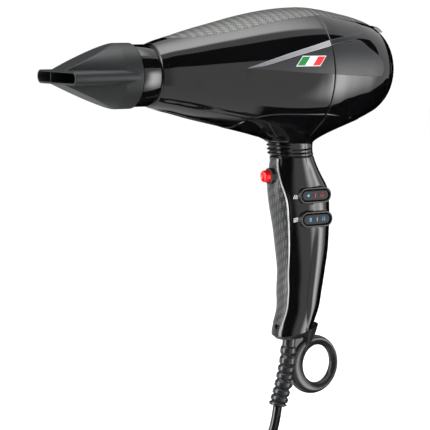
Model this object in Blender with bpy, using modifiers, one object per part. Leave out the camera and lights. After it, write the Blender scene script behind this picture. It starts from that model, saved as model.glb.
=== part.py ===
"""Professional hair dryer: barrel, handle, concentrator nozzle, switches, ring and cord.

Sizes below are millimetres, with z measured from the barrel's axis; publish() turns them
into metres, +Z up, with the origin in the middle of the hand grip. The barrel runs along X
with its outlet towards -X, and the switches face -Y.
"""
import math

import bmesh
import bpy
import numpy as np
from mathutils import Matrix, Vector

MM = 0.001
AXIS_HEIGHT = 130.0     # barrel axis above the middle of the grip
GAP = 0.3               # clearance between neighbouring mouldings
WALL = 2.2              # wall of the housing mouldings
BARREL_TURNS = 32       # facets round the barrel
MIDDLE_TURNS = 24       # facets round motor, fan and sleeve
SMALL_TURNS = 12        # facets round small turned parts
REAR_RISE = 1.4         # the rear end's centre stands this much above the axis
REAR_END = 60.0         # where the filter cap starts
SNOUT_TIP = -158.0
NOZZLE_BACK = -143.3
CORD_RADIUS = 3.6
CORD_FLOOR = -312.0     # lowest point of the lead's coil, below the barrel axis

# Outer surface of the barrel as (x, radius).
BARREL_FRONT = [(-122, 24.8), (-100, 30.5), (-75, 36.7), (-50, 42.5), (-25, 46.6), (-0.15, 47.9)]
BARREL_REAR = [(0.15, 47.9), (20, 45.0), (40, 41.0), (52, 37.0), (60, 33.8)]

# Handle sections as (z, centre x, half length along x, half width along y).
HANDLE_SECTIONS = [
    (-204, -5.4, 15.4, 13.4), (-190, -3.0, 15.6, 14.1), (-177, 0.8, 16.2, 14.6),
    (-150, 3.8, 18.3, 15.5), (-126, 4.0, 21.5, 16.3), (-99, 1.7, 24.1, 17.0),
    (-87, 0.0, 23.9, 17.0), (-78, -2.4, 21.0, 16.5), (-62, -5.6, 16.3, 15.2),
    (-56, -6.4, 16.5, 15.2), (-51, -7.2, 20.0, 18.6), (-46.5, -8.5, 29.0, 23.2),
    (-42, -8.0, 43.0, 27.2), (-36, -7.0, 52.0, 32.4), (-29, -7.0, 50.0, 37.6),
]
NECK_SECTION = 8        # index of the section under the neck's flare
HANDLE_POINTS = 20
HANDLE_ROUNDNESS = 2.2
PARTING_LINE = [
    (-3, -20), (-3.5, -50), (-3.2, -62), (2.4, -84), (5.0, -98),
    (5.2, -114), (1.5, -151), (-0.3, -172), (-0.4, -215),
]
HANDLE_FOOT = [(-40, -203.3), (40, -184.6)]     # sloping bottom edge, side view

HEAT_SWITCH = (5.6, -91.1)      # (x, z) of the rocker's centre
SPEED_SWITCH = (7.0, -109.2)
ROCKER_PIVOT_Y = -15.5
BUTTON_Z = -76.8
RING_CENTRE = (16.5, -222.5)

PARTS = {}


# ---------------------------------------------------------------- modelling helpers

def clear_scene():
    for item in list(bpy.data.objects):
        bpy.data.objects.remove(item, do_unlink=True)


def add_object(name, data):
    item = bpy.data.objects.new(name, data)
    bpy.context.scene.collection.objects.link(item)
    return item


def bake(item):
    """Replace an object's modifiers or curve by the mesh they make, welded and facing out."""
    bpy.context.view_layer.update()
    graph = bpy.context.evaluated_depsgraph_get()
    mesh = bpy.data.meshes.new_from_object(item.evaluated_get(graph))
    shape = bmesh.new()
    shape.from_mesh(mesh)
    bmesh.ops.remove_doubles(shape, verts=shape.verts, dist=1e-4)
    bmesh.ops.dissolve_degenerate(shape, edges=shape.edges, dist=1e-4)
    bmesh.ops.recalc_face_normals(shape, faces=shape.faces)
    shape.to_mesh(mesh)
    shape.free()
    name = item.name
    bpy.data.objects.remove(item)
    baked = add_object(name, mesh)
    return baked


def boolean(item, tool, operation):
    modifier = item.modifiers.new(operation.lower(), "BOOLEAN")
    modifier.operation = operation
    modifier.object = tool
    item = bake(item)
    bpy.data.objects.remove(tool)
    return item


def cut(item, tool):
    return boolean(item, tool, "DIFFERENCE")


def join(item, tool):
    return boolean(item, tool, "UNION")


def keep(item, tool):
    return boolean(item, tool, "INTERSECT")


def place(item, shift=(0, 0, 0), turn=0.0, axis="Z"):
    """Turn an object's mesh about an axis through the origin, then shift it."""
    item.data.transform(Matrix.Translation(Vector(shift)) @ Matrix.Rotation(turn, 4, axis))
    return item


def turned(name, profile, turns=BARREL_TURNS, closed=True, axis="X"):
    """A profile of (along the axis, radius) turned about X or Z with a Screw modifier."""
    if axis == "X":
        points = [(along, radius, 0) for along, radius in profile]
    else:
        points = [(radius, 0, along) for along, radius in profile]
    count = len(points)
    edges = [(i, (i + 1) % count) for i in range(count if closed else count - 1)]
    mesh = bpy.data.meshes.new(name)
    mesh.from_pydata(points, edges, [])
    item = add_object(name, mesh)
    screw = item.modifiers.new("turn", "SCREW")
    screw.axis = axis
    screw.steps = turns
    screw.render_steps = turns
    screw.use_merge_vertices = True
    screw.merge_threshold = 0.0001
    return bake(item)


def outline(name, loops, low, high, axis="Y"):
    """A flat outline, with any holes, extruded from low to high along an axis."""
    curve = bpy.data.curves.new(name, "CURVE")
    curve.dimensions = "2D"
    curve.fill_mode = "BOTH"
    curve.extrude = (high - low) / 2
    for loop in loops:
        spline = curve.splines.new("POLY")
        spline.points.add(len(loop) - 1)
        for point, (u, v) in zip(spline.points, loop):
            point.co = (u, v, 0, 1)
        spline.use_cyclic_u = True
    item = bake(add_object(name, curve))
    middle = (low + high) / 2
    if axis == "Y":
        item.data.transform(Matrix.Rotation(math.pi / 2, 4, "X"))
        return place(item, (0, middle, 0))
    if axis == "X":
        item.data.transform(Matrix.Rotation(math.pi / 2, 4, "Z") @ Matrix.Rotation(math.pi / 2, 4, "X"))
        return place(item, (middle, 0, 0))
    return place(item, (0, 0, middle))


def block(name, low, high):
    """A box from its low corner to its high corner."""
    shape = bmesh.new()
    bmesh.ops.create_cube(shape, size=1)
    size = [b - a for a, b in zip(low, high)]
    middle = [(a + b) / 2 for a, b in zip(low, high)]
    bmesh.ops.scale(shape, vec=size, verts=shape.verts)
    bmesh.ops.translate(shape, vec=middle, verts=shape.verts)
    mesh = bpy.data.meshes.new(name)
    shape.to_mesh(mesh)
    shape.free()
    return add_object(name, mesh)


def rod(name, start, end, radius, sides=SMALL_TURNS):
    """A straight cylinder between two points."""
    start, end = Vector(start), Vector(end)
    length = (end - start).length
    shape = bmesh.new()
    bmesh.ops.create_cone(shape, cap_ends=True, segments=sides,
                          radius1=radius, radius2=radius, depth=length)
    facing = Vector((0, 0, 1)).rotation_difference(end - start).to_matrix().to_4x4()
    bmesh.ops.transform(shape, matrix=Matrix.Translation((start + end) / 2) @ facing, verts=shape.verts)
    mesh = bpy.data.meshes.new(name)
    shape.to_mesh(mesh)
    shape.free()
    return add_object(name, mesh)


def wire(name, points, radius, roundness=1):
    """A tube along a list of points."""
    curve = bpy.data.curves.new(name, "CURVE")
    curve.dimensions = "3D"
    curve.bevel_depth = radius
    curve.bevel_resolution = roundness
    curve.use_fill_caps = True
    spline = curve.splines.new("POLY")
    spline.points.add(len(points) - 1)
    for place_on_curve, point in zip(spline.points, points):
        place_on_curve.co = (*point, 1)
    return bake(add_object(name, curve))


def smooth_route(points, spacing):
    """Points read from a Catmull-Rom curve through the given ones, about spacing apart."""
    given = [Vector(p) for p in points]
    given = [2 * given[0] - given[1]] + given + [2 * given[-1] - given[-2]]
    route = []
    for before, start, end, after in zip(given, given[1:], given[2:], given[3:]):
        steps = max(1, round((end - start).length / spacing))
        for step in range(steps):
            t = step / steps
            route.append(0.5 * (2 * start + (end - before) * t
                                + (2 * before - 5 * start + 4 * end - after) * t ** 2
                                + (3 * start - before - 3 * end + after) * t ** 3))
    return route + [given[-2]]


def loft(name, rings, ends=True):
    """A skin through closed rings of points, with flat ends, or joined end to end."""
    shape = bmesh.new()
    rows = [[shape.verts.new(point) for point in ring] for ring in rings]
    pairs = list(zip(rows, rows[1:]))
    if not ends:
        pairs.append((rows[-1], rows[0]))
    for row, following in pairs:
        for i in range(len(row)):
            j = (i + 1) % len(row)
            shape.faces.new((row[i], row[j], following[j]))
            shape.faces.new((row[i], following[j], following[i]))
    if ends:
        shape.faces.new(rows[0])
        shape.faces.new(rows[-1])
    bmesh.ops.recalc_face_normals(shape, faces=shape.faces)
    mesh = bpy.data.meshes.new(name)
    shape.to_mesh(mesh)
    shape.free()
    return add_object(name, mesh)


def oval(half_u, half_v, roundness, count):
    """Points of a superellipse, from a circle at roundness 2 towards a box as it grows."""
    points = []
    for i in range(count):
        angle = 2 * math.pi * (i + 0.5) / count
        c, s = math.cos(angle), math.sin(angle)
        reach = (abs(c) ** roundness + abs(s) ** roundness) ** (-1 / roundness)
        points.append((half_u * reach * c, half_v * reach * s))
    return points


def pill(length, height, centre, per_end=6):
    """A flat outline with half-round ends."""
    radius = height / 2
    reach = length / 2 - radius
    loop = []
    for side, start in ((1, -math.pi / 2), (-1, math.pi / 2)):
        for i in range(per_end + 1):
            angle = start + math.pi * i / per_end
            loop.append((centre[0] + side * reach + radius * math.cos(angle),
                         centre[1] + radius * math.sin(angle)))
    return loop


def material(name, colour, roughness, metallic=0.0):
    finish = bpy.data.materials.new(name)
    finish.use_nodes = True
    shader = finish.node_tree.nodes["Principled BSDF"]
    shader.inputs["Base Color"].default_value = (*colour, 1)
    shader.inputs["Roughness"].default_value = roughness
    shader.inputs["Metallic"].default_value = metallic
    return finish


def add_part(item, finish, pivot=(0, 0, 0)):
    """Enter a finished piece under its own name, with the point its joint turns about."""
    item.data.materials.clear()
    item.data.materials.append(finish)
    PARTS[item.name] = (item, Vector(pivot))
    return item


# ---------------------------------------------------------------- finishes

def make_finishes():
    return {
        "gloss_black": material("gloss_black_abs", (0.012, 0.012, 0.013), 0.12),
        "satin_grey": material("satin_grey_panel", (0.05, 0.052, 0.056), 0.4),
        "silver": material("satin_silver_band", (0.6, 0.6, 0.61), 0.3, 0.6),
        "weave": material("carbon_look_film", (0.22, 0.22, 0.22), 0.3),
        "nozzle": material("matt_grey_nylon", (0.06, 0.062, 0.065), 0.55),
        "rubber": material("black_rubber", (0.02, 0.02, 0.021), 0.5),
        "red": material("gloss_red_abs", (0.75, 0.01, 0.01), 0.15),
        "key": material("grey_rocker", (0.09, 0.09, 0.095), 0.4),
        "mica": material("mica_board", (0.62, 0.55, 0.42), 0.6),
        "wire": material("heater_wire", (0.45, 0.42, 0.4), 0.35, 1.0),
        "steel": material("steel", (0.55, 0.55, 0.56), 0.3, 1.0),
        "copper": material("enamelled_copper", (0.55, 0.23, 0.1), 0.35, 0.8),
        "nylon": material("natural_nylon", (0.7, 0.68, 0.62), 0.5),
        "brass": material("brass", (0.75, 0.58, 0.28), 0.3, 1.0),
        "live": material("brown_wire", (0.2, 0.08, 0.03), 0.4),
        "neutral": material("blue_wire", (0.04, 0.14, 0.5), 0.4),
        "cord": material("black_pvc", (0.015, 0.015, 0.016), 0.25),
    }


# ---------------------------------------------------------------- barrel

def offset(profile, by):
    return [(x, radius + by) for x, radius in profile]


def rise(item):
    """Lift the rear of a barrel piece, whose centre line climbs towards the intake."""
    for vertex in item.data.vertices:
        vertex.co.z += REAR_RISE * min(1, max(0, (vertex.co.x - 10) / 45))
    return item


def barrel_layer(name, profile, inner, outer):
    """The ring of material between two offsets of the barrel's outer surface."""
    return rise(turned(name, offset(profile, outer) + offset(profile, inner)[::-1]))


def stretched(profile):
    """The profile run 2 mm past both of its ends, for cutters."""
    (x0, r0), (x1, r1) = profile[0], profile[-1]
    return [(x0 - 2, r0)] + profile + [(x1 + 2, r1)]


SIDES = ("left", -60, -5), ("right", 5, 60)     # name, and where each lies along y
STRIP_FRONT = [(-116, 5), (-104, 12.6), (-93, 17.2), (-80, 20.3), (-62, 23), (-44, 24.4),
               (-25, 24.6), (-0.5, 23)]
STRIP_REAR = [(0.5, 23), (17, 21.6), (32, 20.5), (45, 17.5), (56, 14)]
PANEL_FRONT = [(-66, 4.5), (-42, 2.8), (-25, 1.4), (-0.5, -0.2), (-0.5, 20.2), (-27, 15.3),
               (-46, 9.8), (-60, 5.6)]
PANEL_REAR = [(0.5, -0.3), (33, -2.4), (49, -3.2), (51.5, -1.5), (51.5, 6), (48, 11.5),
              (38, 18), (30, 24.3), (37, 29.5), (21, 27.8), (0.5, 24.6)]
BAND_FRONT = [(-67.5, 5.6), (-60, 6.6), (-46, 10.8), (-27, 16.3), (-0.5, 21.2), (-0.5, 24.4),
              (-10, 22.7), (-36, 17.6), (-54, 11.6)]
POCKET_FRONT = [(-69, 4.6), (-66, 4.1), (-42, 2.4), (-25, 1.0), (3, -0.8), (3, 25.2), (-10, 23.1),
                (-36, 18.0), (-54, 12.1), (-68, 5.9)]
POCKET_REAR = [(-3, -0.5), (33, -2.8), (49.3, -3.6), (51.9, -1.6), (51.9, 6.2), (48.3, 11.9),
               (38.4, 18.4), (30.6, 24.6), (37.8, 30), (21, 28.2), (-3, 24.8)]


def mirrored(edge):
    """A plan outline from one of its long edges, the same on both sides of the barrel."""
    return edge + [(x, -y) for x, y in reversed(edge)]


def widened(edge, by):
    """A trim's long edge moved outwards by the clearance of its seat."""
    return [(edge[0][0] - by, edge[0][1] + by)] + [(x, y + by) for x, y in edge[1:-1]] \
        + [(edge[-1][0] + 3 * by, edge[-1][1] + by)]


def side_pockets(shell, profile, pocket):
    """Sink the shallow seats of the side trims into a barrel shell, one on each side."""
    for side, low, high in SIDES:
        seat = barrel_layer("seat", stretched(profile), -1.3, 3)
        shell = cut(shell, keep(seat, outline("limits", [pocket], low, high)))
    return shell


def strip_pocket(shell, profile, edge, past_seam):
    """Sink the seat of the top strip into a barrel shell, open at the ring seam."""
    seat = barrel_layer("seat", stretched(profile), -1.3, 3)
    limits = [(x + past_seam if abs(x) < 1 else x, y) for x, y in widened(edge, 0.35)]
    return cut(shell, keep(seat, outline("limits", [mirrored(limits)], 10, 70, "Z")))


def make_front_shell(finish):
    inner = [(-0.15, 45.7), (-25, 44.4), (-50, 40.2), (-75, 34.4), (-100, 28.2), (-123, 21.9),
             (-129, 17.2), (SNOUT_TIP, 17.2)]
    outer = [(SNOUT_TIP, 19.2), (-143, 19.2), (-143, 22.0), (-128.8, 22.0), (-128.0, 22.7)]
    shell = turned("barrel_front_shell", outer + BARREL_FRONT + inner)
    shell = side_pockets(shell, BARREL_FRONT, POCKET_FRONT)
    shell = strip_pocket(shell, BARREL_FRONT, STRIP_FRONT, 4)
    shell = cut(shell, rod("wire_way", (-8, 0, -30), (-8, 0, -60), 7))
    add_part(shell, finish["gloss_black"])


def make_rear_shell(finish):
    inner = [(REAR_END - 0.3, 31.9), (52, 34.8), (40, 38.8), (20, 42.8), (0.15, 45.7)]
    shell = rise(turned("barrel_rear_shell", BARREL_REAR[:-1] + [(REAR_END - 0.3, 33.8)] + inner))
    shell = side_pockets(shell, BARREL_REAR, POCKET_REAR)
    shell = strip_pocket(shell, BARREL_REAR, STRIP_REAR, -4)
    add_part(shell, finish["gloss_black"])


def make_trim(name, profile, limits, axis, low, high, finish):
    layer = barrel_layer(name, profile, -1.0, 0.0)
    add_part(keep(layer, outline("limits", [limits], low, high, axis)), finish)


def make_trims(finish):
    for end, profile, strip, panel in (("front", BARREL_FRONT, STRIP_FRONT, PANEL_FRONT),
                                       ("rear", BARREL_REAR, STRIP_REAR, PANEL_REAR)):
        make_trim(f"top_strip_{end}", profile, mirrored(strip), "Z", 10, 70, finish["weave"])
        for side, low, high in SIDES:
            make_trim(f"side_panel_{side}_{end}", profile, panel, "Y", low, high, finish["satin_grey"])
    for side, low, high in SIDES:
        make_trim(f"accent_band_{side}", BARREL_FRONT, BAND_FRONT, "Y", low, high, finish["silver"])


def make_filter_cap(finish):
    """Domed intake cap with a skirt, finger tab and a circle of slots, and its mesh."""
    inside = [(71.5, 0), (70.4, 16.8), (68, 23.8), (64, 28.0), (60, 29.6), (54.5, 29.6)]
    outside = [(54.5, 31.2), (REAR_END + 0.2, 31.2), (REAR_END + 0.2, 33.6), (66, 29.8), (70, 25.6),
               (72.6, 17.5), (73.5, 0)]
    cap = turned("filter_cap", inside + outside, closed=False)
    tab = outline("tab", [[(REAR_END + 0.2, 27.5), (68, 27.5), (68, 31.6), (REAR_END + 0.2, 33.9)]], -13, 13)
    cap = join(cap, tab)
    slots = None
    for number in range(8):
        turn = 2 * math.pi * number / 8
        slot = place(block("slot", (64, -1.8, 9), (80, 1.8, 22.5)), turn=turn, axis="X")
        slots = slot if slots is None else join(slots, slot)
    cap = rise(cut(cap, slots))
    add_part(cap, finish["gloss_black"])
    gauze = rise(turned("filter_mesh", [(57.2, 0), (57.2, 29.2), (58.2, 29.2), (58.2, 0)], MIDDLE_TURNS, closed=False))
    add_part(gauze, finish["steel"])


# ---------------------------------------------------------------- nozzle

NOZZLE_OUTSIDE = [      # (x, half width, half height, roundness)
    (-200, 30.3, 4.8, 4.0), (-190, 29.4, 9.8, 3.6), (-180, 28.0, 14.8, 3.2),
    (-170, 26.4, 19.2, 2.7), (-161, 24.8, 22.2, 2.3), (-154, 23.6, 23.2, 2.0),
    (NOZZLE_BACK, 23.2, 23.2, 2.0),
]
NOZZLE_INSIDE = [
    (-200, 29.1, 3.6, 4.0), (-190, 28.2, 3.9, 4.0), (-180, 26.6, 12.2, 3.2),
    (-170, 25.0, 17.2, 2.7), (-161, 22.6, 20.4, 2.3), (-158, 21.3, 21.3, 2.0),
    (NOZZLE_BACK, 21.3, 21.3, 2.0),
]


def nozzle_rings(sections):
    return [[(x, u, v) for u, v in oval(half_width, half_height, roundness, 24)]
            for x, half_width, half_height, roundness in sections]


def make_nozzle(finish):
    rings = nozzle_rings(NOZZLE_OUTSIDE) + nozzle_rings(NOZZLE_INSIDE)[::-1]
    add_part(loft("nozzle", rings, ends=False), finish["nozzle"])
    collar = turned("nozzle_snap_collar", [(-157.6, 19.5), (-143.8, 19.5), (-143.8, 20.9), (-157.6, 20.9)], MIDDLE_TURNS)
    add_part(collar, finish["nylon"])


# ---------------------------------------------------------------- heater

def make_outlet_grille(finish):
    grille = turned("outlet_grille", [(-150, 15.0), (-147, 15.0), (-147, 16.9), (-150, 16.9)], 24)
    for y in (-9, -3, 3, 9):
        grille = join(grille, block("bar", (-149.6, y - 0.6, -13), (-147.6, y + 0.6, 13)))
        reach = math.sqrt(15.9 ** 2 - y ** 2)
        for low, high in ((-reach, -12.9), (12.9, reach)):
            if high - low > 0.4:
                grille = join(grille, block("bar", (-149.5, y - 0.5, low), (-147.7, y + 0.5, high)))
    grille = join(grille, block("bar", (-149.3, -15.8, -0.6), (-147.9, 15.8, 0.6)))
    add_part(grille, finish["steel"])


def board_outline(slot_from, slot_to):
    """Half of a crossed mica frame: wide ends that touch the sleeve, a waist for the
    windings, and a slot along half its length for the other board."""
    half = 0.75
    if slot_from < slot_to < -60:
        return [(-102, -24.2), (-96, -24.2), (-96, -18), (-40, -18), (-40, -24.2), (-34, -24.2),
                (-34, 24.2), (-40, 24.2), (-40, 18), (-96, 18), (-96, 24.2), (-102, 24.2),
                (-102, half), (slot_to, half), (slot_to, -half), (-102, -half)]
    return [(-102, -24.2), (-96, -24.2), (-96, -18), (-40, -18), (-40, -24.2), (-34, -24.2),
            (-34, -half), (slot_from, -half), (slot_from, half), (-34, half),
            (-34, 24.2), (-40, 24.2), (-40, 18), (-96, 18), (-96, 24.2), (-102, 24.2)]


def helix(first_x, last_x, radius, coils, per_coil):
    count = coils * per_coil
    points = []
    for i in range(count + 1):
        angle = 2 * math.pi * i / per_coil
        x = first_x + (last_x - first_x) * i / count
        points.append((x, radius * math.cos(angle), radius * math.sin(angle)))
    return points


def make_heater(finish):
    flat = outline("mica_board_flat", [board_outline(-102, -67.8)], -0.4, 0.4, "Z")
    add_part(flat, finish["mica"])
    upright = outline("mica_board_upright", [board_outline(-68.2, -34)], -0.4, 0.4, "Y")
    add_part(upright, finish["mica"])
    sleeve = turned("mica_sleeve", [(-104, 24.7), (-32, 24.7), (-32, 25.4), (-104, 25.4)], MIDDLE_TURNS)
    add_part(sleeve, finish["mica"])
    add_part(wire("heater_winding", helix(-93, -43, 19.6, 6, 12), 0.9), finish["wire"])
    add_part(rod("thermostat", (-70, 9, 0.8), (-70, 9, 6), 5), finish["nylon"])
    add_part(rod("thermal_fuse", (-58, -9, 2.6), (-46, -9, 2.6), 1.7, 10), finish["steel"])


# ---------------------------------------------------------------- motor and fan

def make_motor(finish):
    core = turned("motor_field_core", [(-6, 17.6), (16, 17.6), (16, 20.4), (-6, 20.4)], MIDDLE_TURNS)
    add_part(core, finish["steel"])
    for name, low, high in (("field_coil_upper", 4, 30), ("field_coil_lower", -30, -4)):
        coil = turned(name, [(-9, 13.4), (19, 13.4), (19, 17.2), (-9, 17.2)], MIDDLE_TURNS)
        add_part(keep(coil, block("half", (-30, -30, low), (30, 30, high))), finish["copper"])
    front_bell = [(-24, 5.4), (-24, 20.4), (-6.4, 20.4), (-6.4, 18.6), (-22, 18.6), (-22, 5.4)]
    add_part(turned("motor_front_bell", front_bell, MIDDLE_TURNS), finish["steel"])
    rear_bell = [(16.4, 20.4), (25, 20.4), (25, 5.4), (23, 5.4), (23, 18.6), (16.4, 18.6)]
    add_part(turned("motor_rear_bell", rear_bell, MIDDLE_TURNS), finish["steel"])
    for name, x in (("front_bearing", -24), ("rear_bearing", 21.5)):
        ring = turned(name, [(x, 2.0), (x + 3.5, 2.0), (x + 3.5, 5.0), (x, 5.0)], SMALL_TURNS)
        add_part(ring, finish["brass"])
    for name, side in (("carbon_brush_left", -1), ("carbon_brush_right", 1)):
        low, high = sorted((side * 6.6, side * 12.5))
        add_part(block(name, (-17, low, -1.8), (-12, high, 1.8)), finish["rubber"])


def make_rotor(finish):
    shaft = rod("motor_shaft", (-24.5, 0, 0), (47, 0, 0), 1.6, SMALL_TURNS)
    add_part(shaft, finish["steel"])
    armature = [(-8, 1.9), (-8, 9.5), (-5, 10.5), (-5, 12.6), (15, 12.6), (15, 10.5), (18, 9.5), (18, 1.9)]
    add_part(turned("armature", armature, SMALL_TURNS), finish["copper"])
    commutator = [(-18, 1.9), (-18, 6), (-11, 6), (-11, 1.9)]
    add_part(turned("commutator", commutator, SMALL_TURNS), finish["brass"])


def make_fan(finish):
    hub = [(27, 1.9), (27, 9), (29, 11.5), (42, 11.5), (44.5, 7.5), (44.5, 1.9)]
    fan = turned("fan", hub, 21)
    blades = None
    for number in range(7):
        blade = block("blade", (-7.5, -0.7, 10.6), (7.5, 0.7, 31.5))
        blade = place(blade, turn=math.radians(38), axis="Z")
        blade = place(blade, (35.5, 0, 0))
        blade = place(blade, turn=2 * math.pi * number / 7, axis="X")
        blades = blade if blades is None else join(blades, blade)
    add_part(join(fan, blades), finish["nylon"])


def make_fan_duct(finish):
    """Shroud round the fan, and the guide vanes that carry the motor's sleeve."""
    duct = turned("fan_duct", [(12, 33), (46, 33), (46, 34.4), (12, 34.4)], MIDDLE_TURNS)
    sleeve = turned("sleeve", [(-4, 20.8), (22, 20.8), (22, 22.4), (-4, 22.4)], MIDDLE_TURNS)
    vanes = None
    for number in range(6):
        vane = block("vane", (13, -0.8, 21.6), (21, 0.8, 33.7))
        vane = place(vane, turn=2 * math.pi * (number + 0.5) / 6, axis="X")
        vanes = vane if vanes is None else join(vanes, vane)
    duct = join(duct, join(sleeve, vanes))
    add_part(duct, finish["nylon"])


# ---------------------------------------------------------------- handle

def handle_rings(inward=0.0, lift=0.0):
    """The handle's sections, drawn in by a wall's thickness for its inside."""
    rings = []
    for z, centre, half_length, half_width in HANDLE_SECTIONS:
        loop = oval(half_length - inward, half_width - inward, HANDLE_ROUNDNESS, HANDLE_POINTS)
        rings.append([(centre + u, v, z + lift) for u, v in loop])
    return rings


def side_of_parting(front):
    """A slab of everything in front of, or behind, the handle's parting line."""
    step = -GAP / 2 if front else GAP / 2
    edge = [(x + step, z) for x, z in PARTING_LINE]
    far = -90 if front else 90
    return outline("side", [edge + [(far, -215), (far, -20)]], -60, 60)


def handle_skin(name):
    skin = loft(name, handle_rings())
    inside = loft("inside", handle_rings(WALL, 0.4)[1:])
    below = loft("below", [[(x, y, z - 30) for x, y, z in handle_rings(WALL, 0.4)[1]],
                           handle_rings(WALL, 0.4)[1]])
    skin = cut(skin, inside)
    skin = cut(skin, below)
    barrel = [(-120, 0)] + [(-118, 25.8)] + offset(BARREL_FRONT + BARREL_REAR[1:], GAP)[1:] + [(60, 0)]
    skin = cut(skin, rise(turned("barrel_room", barrel, closed=False)))
    foot = [HANDLE_FOOT[0], HANDLE_FOOT[1], (40, -240), (-40, -240)]
    return cut(skin, outline("foot", [foot], -30, 30))


def switch_holes(shell):
    for x, z in (HEAT_SWITCH, SPEED_SWITCH):
        shell = cut(shell, outline("hole", [pill(25.6, 12.6, (x, z))], -25, -8))
    return shell


def screw_boss(shell, z, wall_x, seam_x, bore):
    """A hollow post that the handle screw passes through or bites into."""
    shell = join(shell, rod("boss", (wall_x, 0, z), (seam_x, 0, z), 3.4, 12))
    far = seam_x + (seam_x - wall_x) * 0.1
    near = wall_x + (seam_x - wall_x) * (-0.2 if bore > 1.4 else 0.15)
    return cut(shell, rod("bore", (near, 0, z), (far, 0, z), bore, 12))


HANDLE_SCREWS = [(-138, -14.1, 2.7, 23.8), (-160, -12.8, 0.8, 20.2)]     # (z, front x, seam x, rear x)
INLAY_LIMIT = [(-20.8, -63), (-22, -72), (-20.7, -83), (-17.9, -94), (-15.9, -107), (-13.4, -137),
               (-13.2, -165), (-14.2, -179), (-17.5, -190)]


def inlay_limits(by, top, bottom):
    edge = [(x + by, z) for x, z in INLAY_LIMIT]
    edge[0] = (edge[0][0], top)
    edge[-1] = (edge[-1][0], bottom)
    return edge + [(-50, bottom), (-50, top)]


def make_handle_front(finish):
    shell = keep(handle_skin("handle_front_shell"), side_of_parting(True))
    shell = switch_holes(shell)
    seat = cut(loft("seat", handle_rings(-3)[:NECK_SECTION + 2]), loft("floor", handle_rings(1.3, 0.0)[:NECK_SECTION + 3]))
    shell = cut(shell, keep(seat, outline("limits", [inlay_limits(0.3, -62.6, -190.4)], -30, 30)))
    shell = cut(shell, rod("button_hole", (-40, 0, BUTTON_Z), (-16, 0, BUTTON_Z), 4.9, 20))
    for z, front_x, seam_x, rear_x in HANDLE_SCREWS:
        shell = screw_boss(shell, z, front_x, seam_x - 1.0, 1.2)
    add_part(shell, finish["gloss_black"])


def make_handle_rear(finish):
    shell = keep(handle_skin("handle_rear_shell"), side_of_parting(False))
    shell = switch_holes(shell)
    for z, front_x, seam_x, rear_x in HANDLE_SCREWS:
        shell = screw_boss(shell, z, rear_x - 1.0, seam_x + 1.0, 1.7)
        shell = cut(shell, rod("recess", (rear_x + 4, 0, z), (rear_x - 2.2, 0, z), 3.0, 12))
    add_part(shell, finish["gloss_black"])


def make_grip_inlay(finish):
    layer = cut(loft("grip_inlay", handle_rings()[:NECK_SECTION + 2]), loft("floor", handle_rings(1.0)[:NECK_SECTION + 3]))
    inlay = keep(layer, outline("limits", [inlay_limits(0.0, -63, -190)], -30, 30))
    inlay = cut(inlay, rod("button_hole", (-40, 0, BUTTON_Z), (-16, 0, BUTTON_Z), 4.9, 20))
    add_part(inlay, finish["weave"])


def make_handle_screws(finish):
    for name, (z, front_x, seam_x, rear_x) in zip(("handle_screw_upper", "handle_screw_lower"), HANDLE_SCREWS):
        profile = [(rear_x - 0.6, 0), (rear_x - 0.6, 2.6), (rear_x - 2.0, 2.6), (rear_x - 2.0, 1.3),
                   (seam_x - 8, 0.9), (seam_x - 8, 0)]
        add_part(place(turned(name, profile, 12, closed=False), (0, 0, z)), finish["steel"])


# ---------------------------------------------------------------- switches and button

def make_switch(name, centre, finish):
    """Rocker switch: a pill-shaped bezel through the wall, its body, and the key."""
    x, z = centre
    rim = [pill(25.0, 12.0, centre), pill(21.8, 8.8, centre)]
    add_part(outline(f"{name}_switch_bezel", rim, -18.8, -10.4), finish["key"])
    body = block(f"{name}_switch_body", (x - 9, -10.0, z - 5), (x + 9, -1.5, z + 5))
    for side in (-6, 0, 6):
        body = join(body, block("tag", (x + side - 0.4, -1.6, z - 1.6), (x + side + 0.4, 3.2, z + 1.6)))
    add_part(body, finish["rubber"])
    key = outline(f"{name}_rocker", [pill(20.6, 7.8, centre)], -18.3, -14.6)
    add_part(key, finish["key"], (x, ROCKER_PIVOT_Y, z))


def make_cold_shot(finish):
    head = [(-31, 0), (-31, 3.6), (-30.2, 4.5), (-18.6, 4.5), (-18.6, 5.8), (-17.6, 5.8), (-17.6, 0)]
    button = place(turned("cold_shot_button", head, 20, closed=False), (0, 0, BUTTON_Z))
    add_part(button, finish["red"], (0, 0, BUTTON_Z))
    coils = helix(-16.9, -12.5, 2.4, 3, 8)
    spring = place(wire("cold_shot_spring", coils, 0.35), (0, 0, BUTTON_Z))
    add_part(spring, finish["steel"])
    micro = block("cold_shot_microswitch", (-11.8, -3, BUTTON_Z - 5), (-5.5, 3, BUTTON_Z + 5))
    add_part(micro, finish["rubber"])


# ---------------------------------------------------------------- foot, ring and lead

BOOT_AXIS = [(-6.2, -199), (-7.6, -211), (-8.5, -219.8), (-9.9, -226), (-11.2, -232),
             (-12.9, -238.7), (-14.6, -244.6), (-16.4, -249.6), (-17.0, -252.4)]


def boot_rings():
    rings = []
    for index, (x, z) in enumerate(BOOT_AXIS):
        radius = 5.4 + 0.1 * index
        ring = oval(radius, radius, 2, 12)
        rings.append([(x + u, v, z - 0.29 * u * min(1, index / 5)) for u, v in ring])
    return rings


def ring_rings():
    """Hanging ring: an upright oval path with a rounded section that is thin at the hole."""
    rings = []
    for i in range(24):
        angle = 2 * math.pi * i / 24
        c, s = math.cos(angle), math.sin(angle)
        ring = []
        for u, v in oval(3.6, 4.7, 2.3, 8):
            ring.append((RING_CENTRE[0] + (16.3 + u) * c, v, RING_CENTRE[1] + (18.2 + u) * s))
        rings.append(ring)
    return rings


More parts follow.
